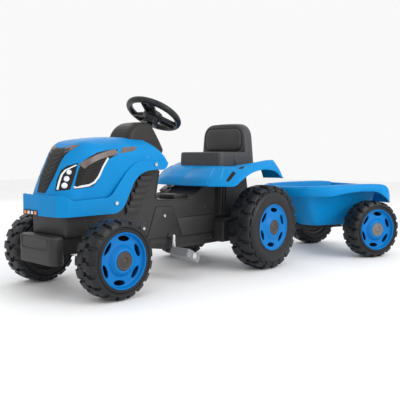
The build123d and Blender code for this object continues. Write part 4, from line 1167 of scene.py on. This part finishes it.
pan_rings = [plan_ring(SEAT_BASE, 1.5, 18), plan_ring(SEAT_BASE + 1.5, 0, 18)]
pan_rings += [plan_ring(SEAT_PAN_TOP - down, inset, corner) for down, inset, corner in (
    (20, 0.6, 18), (5, 1.4, 18), (1.4, 2.8, 18), (0, 6, 18),
    (0.4, 12, 22), (3.5, 16, 26), (9, 26, 34), (12, 44, 44),
)]
pan = ring_loft("seat_pan", pan_rings)
smooth(pan, 50)


def back_outline(inset):
    """The backrest's outline in Y and Z: straight flanks that lean in, with a round top."""
    half = 92 - inset
    right = [(half + 9, SEAT_BASE + 4 + inset), (half + 3, SEAT_PAN_TOP + 24), (half, SEAT_PAN_TOP + 52)]
    top_end = (half - 38, BACK_TOP - 1 - inset)
    top = arc(right[-1], (half - 13, BACK_TOP - 14 - inset * 0.7), top_end, 8)
    crown = arc(top_end, (0, BACK_TOP + 0.5 - inset), (-top_end[0], top_end[1]), 8)
    return right + top + crown + [(-y, z) for y, z in (right + top[:-1])[::-1]]


BACK_FRONT = SEAT_BACK - 38
back_steps = [(SEAT_BACK - 1.5, 6), (SEAT_BACK - 0.2, 1.6), (SEAT_BACK - 3, 0), (BACK_FRONT + 14, 0),
              (BACK_FRONT + 4, 1.5), (BACK_FRONT + 0.8, 4.5), (BACK_FRONT, 8.5)]
backrest = ring_loft("seat_backrest", [[(x, y, z) for y, z in back_outline(inset)] for x, inset in back_steps])


def pad_ring(x, half, low, high, radius=24, steps=7):
    """A rounded rectangle in Y and Z."""
    points = []
    for cy, cz, start in ((half - radius, high - radius, 0), (radius - half, high - radius, 90),
                          (radius - half, low + radius, 180), (half - radius, low + radius, 270)):
        for k in range(steps + 1):
            turn = radians(start + 90 * k / steps)
            points.append((x, cy + radius * cos(turn), cz + radius * sin(turn)))
    return points


PAD_LOW, PAD_HIGH, PAD_HALF, PAD_CORNER = SEAT_PAN_TOP + 2, BACK_TOP - 15, 79, 24
groove = ring_loft("pad_groove", [
    pad_ring(BACK_FRONT + x, PAD_HALF + g, PAD_LOW - g, PAD_HIGH + g, PAD_CORNER + g)
    for x, g in ((-6, 2.5), (2.4, 1.5))
])
carve(backrest, groove)
pad = ring_loft("seat_pad", [
    pad_ring(BACK_FRONT + x, PAD_HALF - g, PAD_LOW + g, PAD_HIGH - g, PAD_CORNER - g * 0.6)
    for x, g in ((8, 1.8), (1.5, 1.8), (-1.6, 2.6), (-3.6, 5), (-4.8, 9), (-5.4, 20))
])
seat = joined("seat_skin", pan, backrest, pad)
smooth(seat, 38)
stand(seat, TRACTOR)
stands_for(seat, seat_plastic, "seat")
print("seat from", SEAT_FRONT, "to", SEAT_BACK)

# %% [markdown]
# ## Chassis details
# The chassis halves keep their engineered shape. What a mould adds on top is made here: a rounded nose
# block and weight at the front, a stack of cast-looking engine blocks, covers with a painted shadow gap
# round them, a dark plate behind each, and a bead round the step-through. Each is drawn once for the left
# side and mirrored to the right.


# %% Model the front weight and the nose block
def round_plan(x_front, x_back, half, radius, z, inset=0.0, steps=8):
    """A rectangle in plan with round corners, at a height."""
    x0, x1, h, r = x_front + inset, x_back - inset, half - inset, max(radius - inset, 1)
    points = []
    for cx, cy, start in ((x1 - r, h - r, 0), (x0 + r, h - r, 90), (x0 + r, r - h, 180), (x1 - r, r - h, 270)):
        for k in range(steps + 1):
            turn = radians(start + 90 * k / steps)
            points.append((cx + r * cos(turn), cy + r * sin(turn), z))
    return points


weight_low, weight_high = ((corner_point - ORIGIN) / MM for corner_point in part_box("front_weight"))
WEIGHT_FRONT, WEIGHT_BACK, WEIGHT_LOW, WEIGHT_HALF = weight_low.x, weight_high.x, weight_low.z, 79.0
weight_steps = [(0, 4), (1.2, 1.6), (4, 0), (64, 0), (68.5, 1.2), (71.2, 3.6), (72, 7)]
weight = ring_loft("weight_body", [
    round_plan(WEIGHT_FRONT, WEIGHT_BACK, WEIGHT_HALF, 17, WEIGHT_LOW + rise, inset)
    for rise, inset in weight_steps
])
recess = ring_loft("weight_recess", [pad_ring(WEIGHT_FRONT + x, 61, 121, 190, 14) for x in (-6, 1.6)])
carve(weight, recess)
plate = ring_loft("weight_plate", [
    pad_ring(WEIGHT_FRONT + x, 59.2 - inset, 122.8 + inset, 150.5 - inset, 11)
    for x, inset in ((6, 0), (0.9, 0), (0.2, 0.8))
])
weight = joined("front_weight_skin", weight, plate)
smooth(weight, 35)
stand(weight, TRACTOR)
stands_for(weight, chassis_plastic, "front_weight")
nose_steps = [(150, 10), (151.5, 5), (155, 1.6), (160, 0), (214, 0)]
nose = ring_loft("nose_block", [round_plan(-84, -8, 75, 13, z, inset) for z, inset in nose_steps])
smooth(nose, 35)
stand(nose, TRACTOR)
serves(nose, chassis_plastic, "chassis_left")
print("weight", len(weight.data.polygons), "faces")

# %% Model the blocks, covers and bead on each side
SIDE = (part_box("crank_covers")[0].y - ORIGIN.y) / MM + 2.5


def bead(name, path, radius):
    """A round bead laid along a path in X and Z on the chassis side."""
    rings = []
    for k, (x, z) in enumerate(path):
        (ax, az), (bx, bz) = path[max(k - 1, 0)], path[min(k + 1, len(path) - 1)]
        length = sqrt((bx - ax) ** 2 + (bz - az) ** 2)
        nx, nz = -(bz - az) / length, (bx - ax) / length
        rings.append([(x + nx * radius * cos(t), SIDE + radius * sin(t), z + nz * radius * cos(t))
                      for t in (radians(30 * i) for i in range(12))])
    return ring_loft(name, rings)


def plate_on_side(name, outline, proud, bevel):
    piece = prism(name, outline, SIDE + 1, SIDE - proud)
    soften(piece, bevel, 2, angle=20, shade=40)
    return piece


def grown(outline, by):
    """The outline moved outwards from its middle by a distance along X and Z."""
    cx, cz = (sum(p[k] for p in outline) / len(outline) for k in (0, 1))
    return [(x + (by if x > cx else -by), z + (by if z > cz else -by)) for x, z in outline]


cover_line = [(200, 118), (237, 207), (240, 208), (301, 206.4), (304, 204), (338, 115)]
panel_line = [(341, 116), (486, 116), (486, 170), (321, 170)]
skirt_line = [(196, 92), (484, 92), (484, 111), (170, 111)]
pocket_line = [(170, 137), (178, 163), (186, 168), (209, 170), (196, 137)]
sill = [(250, 312), (236, 242), (237.5, 234), (242, 229), (250, 227.4), (382, 224.6), (390, 228), (434, 259.6),
        (474, 288)]
# A slightly larger dark plate behind the crank cover and the side panel is a painted shadow in the gap round each.
cover_shadow_plate = plate_on_side("crank_cover_shadow_plate", grown(cover_line, 1.5), 0.7, 0.2)
cover = plate_on_side("crank_cover_skin", cover_line, 2.5, 1.1)
panel_shadow_plate = plate_on_side("side_panel_shadow_plate", grown(panel_line, 1.4), 0.5, 0.2)
details = [
    plate_on_side("side_panel", panel_line, 1.7, 0.8),
    plate_on_side("side_skirt", skirt_line, 1.9, 0.8),
]
# The engine blocks step upwards and backwards, one above another.
for k in range(6):
    rise = 17.5 * k
    spot = (146 + rise * 0.56, SIDE - 3.2, 206 + rise)
    details.append(block(f"engine_block_{k}", spot, (45, 9.6, 14.6), 2.6, 3))
for k, x in enumerate((497, 509, 521)):
    details.append(block(f"wing_rib_{k}", (x, SIDE - 12, 232), (4, 26, 128), 1.2))
details.append(bead("step_bead", sill, 2.0))
details.append(plate_on_side("side_pocket", pocket_line, 1.6, 0.7))
both_sides(cover_shadow_plate, trim_dark, "crank_covers")
both_sides(cover, chassis_plastic, "crank_covers")
both_sides(panel_shadow_plate, trim_dark, "chassis_left", replaced=False)
for piece in details:
    both_sides(piece, chassis_plastic, "chassis_left", replaced=False)
sill_block = block("sill_block", (366, 0, 231), (58, 66, 15), 3, 3)
stand(sill_block, TRACTOR)
serves(sill_block, chassis_plastic, "chassis_left")
print("chassis details on each side:", len(details) + 3)

# %% [markdown]
# ## Trailer tub
# The tub is one open moulding: an inner bowl, a broad rolled rim that also covers the wheels, and an outer
# wall that tapers to the floor. Seen in plan every level is a rounded outline, so the whole skin is one row
# of rings: up the inside, over the rim, down to its lip, back up underneath it and down the outside.

# %% Model the trailer tub
TUB_FLOOR, TUB_WALL, RIM_HALF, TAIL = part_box("trailer_tub")[0].z / MM, 3.5, 186.0, 508.0
prow = arc((236, RIM_HALF), (146, 126), (98, 0), 10)
rim_outline = [(236, RIM_HALF)] + prow + [(s, -n) for s, n in prow[:-1][::-1]] + [(236, -RIM_HALF)]
rim_outline += [(TAIL - 14, -RIM_HALF), (TAIL, -RIM_HALF + 16), (TAIL, RIM_HALF - 16), (TAIL - 14, RIM_HALF)]


def tub_outline(front, shoulder, half, tail):
    nose = arc((shoulder, half), (front + (shoulder - front) * 0.22, half * 0.62), (front, 0), 8)
    loop = [(shoulder, half)] + nose + [(s, -n) for s, n in nose[:-1][::-1]] + [(shoulder, -half)]
    return loop + [(tail, -half), (tail, half)]


HEART = np.array((310, 0))


def polar_ring(outline, height, inset, sharp):
    """The outline, moved in and rounded, met by rays from one common middle; height may follow the place."""
    loop = outline + outline[:1]
    area = sum(a[0] * b[1] - b[0] * a[1] for a, b in zip(loop, loop[1:]))
    loop = loop[::-1] if area > 0 else loop

    def depth(x, y):
        total = beyond(x, y, loop[:2])
        for pair in zip(loop[1:], loop[2:]):
            total = soft_max(total, beyond(x, y, pair), sharp)
        return total + inset

    return ray_ring(HEART, 400, depth, height)


def crest_line(s):
    """The rim's top seen from the side: nearly level, then falling round the wheel at the back."""
    level = np.interp(s, [96, 200, 300, 400, 452], [249, 251, 254.5, 256, 255.5])
    fall = np.interp(s, [452, 466, 480, 490, 498, 504, 508], [0, 1.5, 6, 15, 29, 46, 64])
    return level - fall


def lip_line(s):
    """The rim's lower edge: it rises over the wheel and falls behind it."""
    return np.interp(s, [96, 236, 262, 300, 360, 420, 446, 466, 480, 490, 498, 508],
                     [214, 216, 219.5, 226, 231, 230, 224, 213, 202, 193, 187, 186])


top_in = tub_outline(124, 168, 138, 476)
mid_in = tub_outline(146, 186, 124, 466)
low_in = tub_outline(186, 216, 98, 456)
base_in = tub_outline(200, 226, 91, 454)


def below(line, drop):
    return lambda s: line(s) - drop


def under_rim(drop):
    """A height below the rim's top that never passes its lip."""
    return lambda s: np.maximum(crest_line(s) - drop, lip_line(s) + 1)


# Each ring: outline, height, how far it lies inside the outline, and how softly its corners are rounded.
skin = [polar_ring(*ring) for ring in (
    (base_in, TUB_FLOOR + TUB_WALL, TUB_WALL + 8, 26),
    (base_in, TUB_FLOOR + TUB_WALL + 2.5, TUB_WALL + 1, 20),
    (low_in, TUB_FLOOR + 26, TUB_WALL, 16),
    (mid_in, 190, TUB_WALL, 14),
    (top_in, below(crest_line, 9), TUB_WALL, 14),
    (top_in, below(crest_line, 2.5), TUB_WALL - 1.2, 14),
    (top_in, below(crest_line, 0.6), -1.5, 14),
    (rim_outline, crest_line, 16, 14),
    (rim_outline, below(crest_line, 0.8), 7, 14),
    (rim_outline, below(crest_line, 4), 2.2, 14),
    (rim_outline, under_rim(11), 0.4, 14),
    (rim_outline, below(lip_line, -1.2), 0, 14),
    (rim_outline, lip_line, 1.2, 14),
    (rim_outline, below(lip_line, -0.6), TUB_WALL, 14),
    (rim_outline, under_rim(14), TUB_WALL + 0.6, 14),
    (rim_outline, below(crest_line, 6), 10, 14),
    (top_in, below(crest_line, 8), -8, 16),
    (top_in, below(crest_line, 18), -1.5, 16),
    (mid_in, 190, -1, 16),
    (low_in, TUB_FLOOR + 26, 0, 18),
    (base_in, TUB_FLOOR + 5, 0.6, 22),
    (base_in, TUB_FLOOR, 6, 28),
)]
tub = ring_loft("tub_skin", skin)
smooth(tub, 48)
stand(tub, TRAILER)
stands_for(tub, blue_shell, "trailer_tub")
print("tub", len(tub.data.polygons), "faces")

# %% [markdown]
# ## The parts that stay as engineered
# Shafts, screws, sprockets and the like already have their true shape, so they stay and only get their
# finish. The finish follows from the part's slot in the record, so a new slot stops the cell until it is
# given one here.

# %% Finish the carried-over parts
KEPT_FINISHES = {
    "chassis": chassis_plastic, "blue_shell": blue_shell, "blue_rim": blue_rim, "tyre": tyre_black,
    "hub_cap": cap_plastic, "seat": seat_plastic, "steering_wheel": wheel_black, "trim_dark": trim_dark,
    "trim_silver": trim_silver, "lamp_lens": lamp_face, "amber_lens": lamp_amber, "pedal": pedal_plastic,
    "steel": bright_steel,
}
for node in nodes:
    for slot in bpy.data.objects[node].material_slots:
        slot.material = KEPT_FINISHES[slot_of_node[node]]
print("finished", len(nodes), "carried-over parts")

# %% [markdown]
# ## Floor and light
# A wide pale plane, a bright even world and four large soft lamps make a simple studio. Most of the light
# comes from the left, which faces the camera; the lamp behind picks out the edges.

# %% Lay the floor and hang the lamps
deselect_all()
bpy.ops.mesh.primitive_plane_add(size=14, location=ORIGIN)
floor = called("studio_floor")
dressed(floor, finish_of("floor_paint", (0.93, 0.93, 0.935), (0.91, 0.91, 0.915), 0.6, 200, 0.02, cloud=1.5))


def lamp(name, spot, aim, size, power):
    bpy.ops.object.light_add(type="AREA", location=ORIGIN + Vector(spot))
    light = called(name)
    light.data.size = size
    light.data.energy = power
    light.rotation_euler = (ORIGIN + Vector(aim) - light.location).to_track_quat("-Z", "Y").to_euler()


TARGET, WORLD_STRENGTH = (0.4, 0, 0.2), 0.95
lamp("key_light", (-1.7, -1.5, 2.4), TARGET, 1.4, 11)
lamp("side_light", (0.9, -2.6, 1.5), TARGET, 1.6, 38)
lamp("top_light", (0.4, 0.5, 2.6), TARGET, 2.2, 4)
lamp("back_light", (1.8, 2.2, 1.6), TARGET, 2.0, 10)
world = bpy.context.scene.world or bpy.data.worlds.new("studio")
bpy.context.scene.world = world
world.use_nodes = True
backdrop = world.node_tree.nodes["Background"].inputs
backdrop["Color"].default_value = (1, 1, 1, 1)
backdrop["Strength"].default_value = WORLD_STRENGTH
bpy.context.scene.view_settings.view_transform = "Standard"
print("lamps lit")
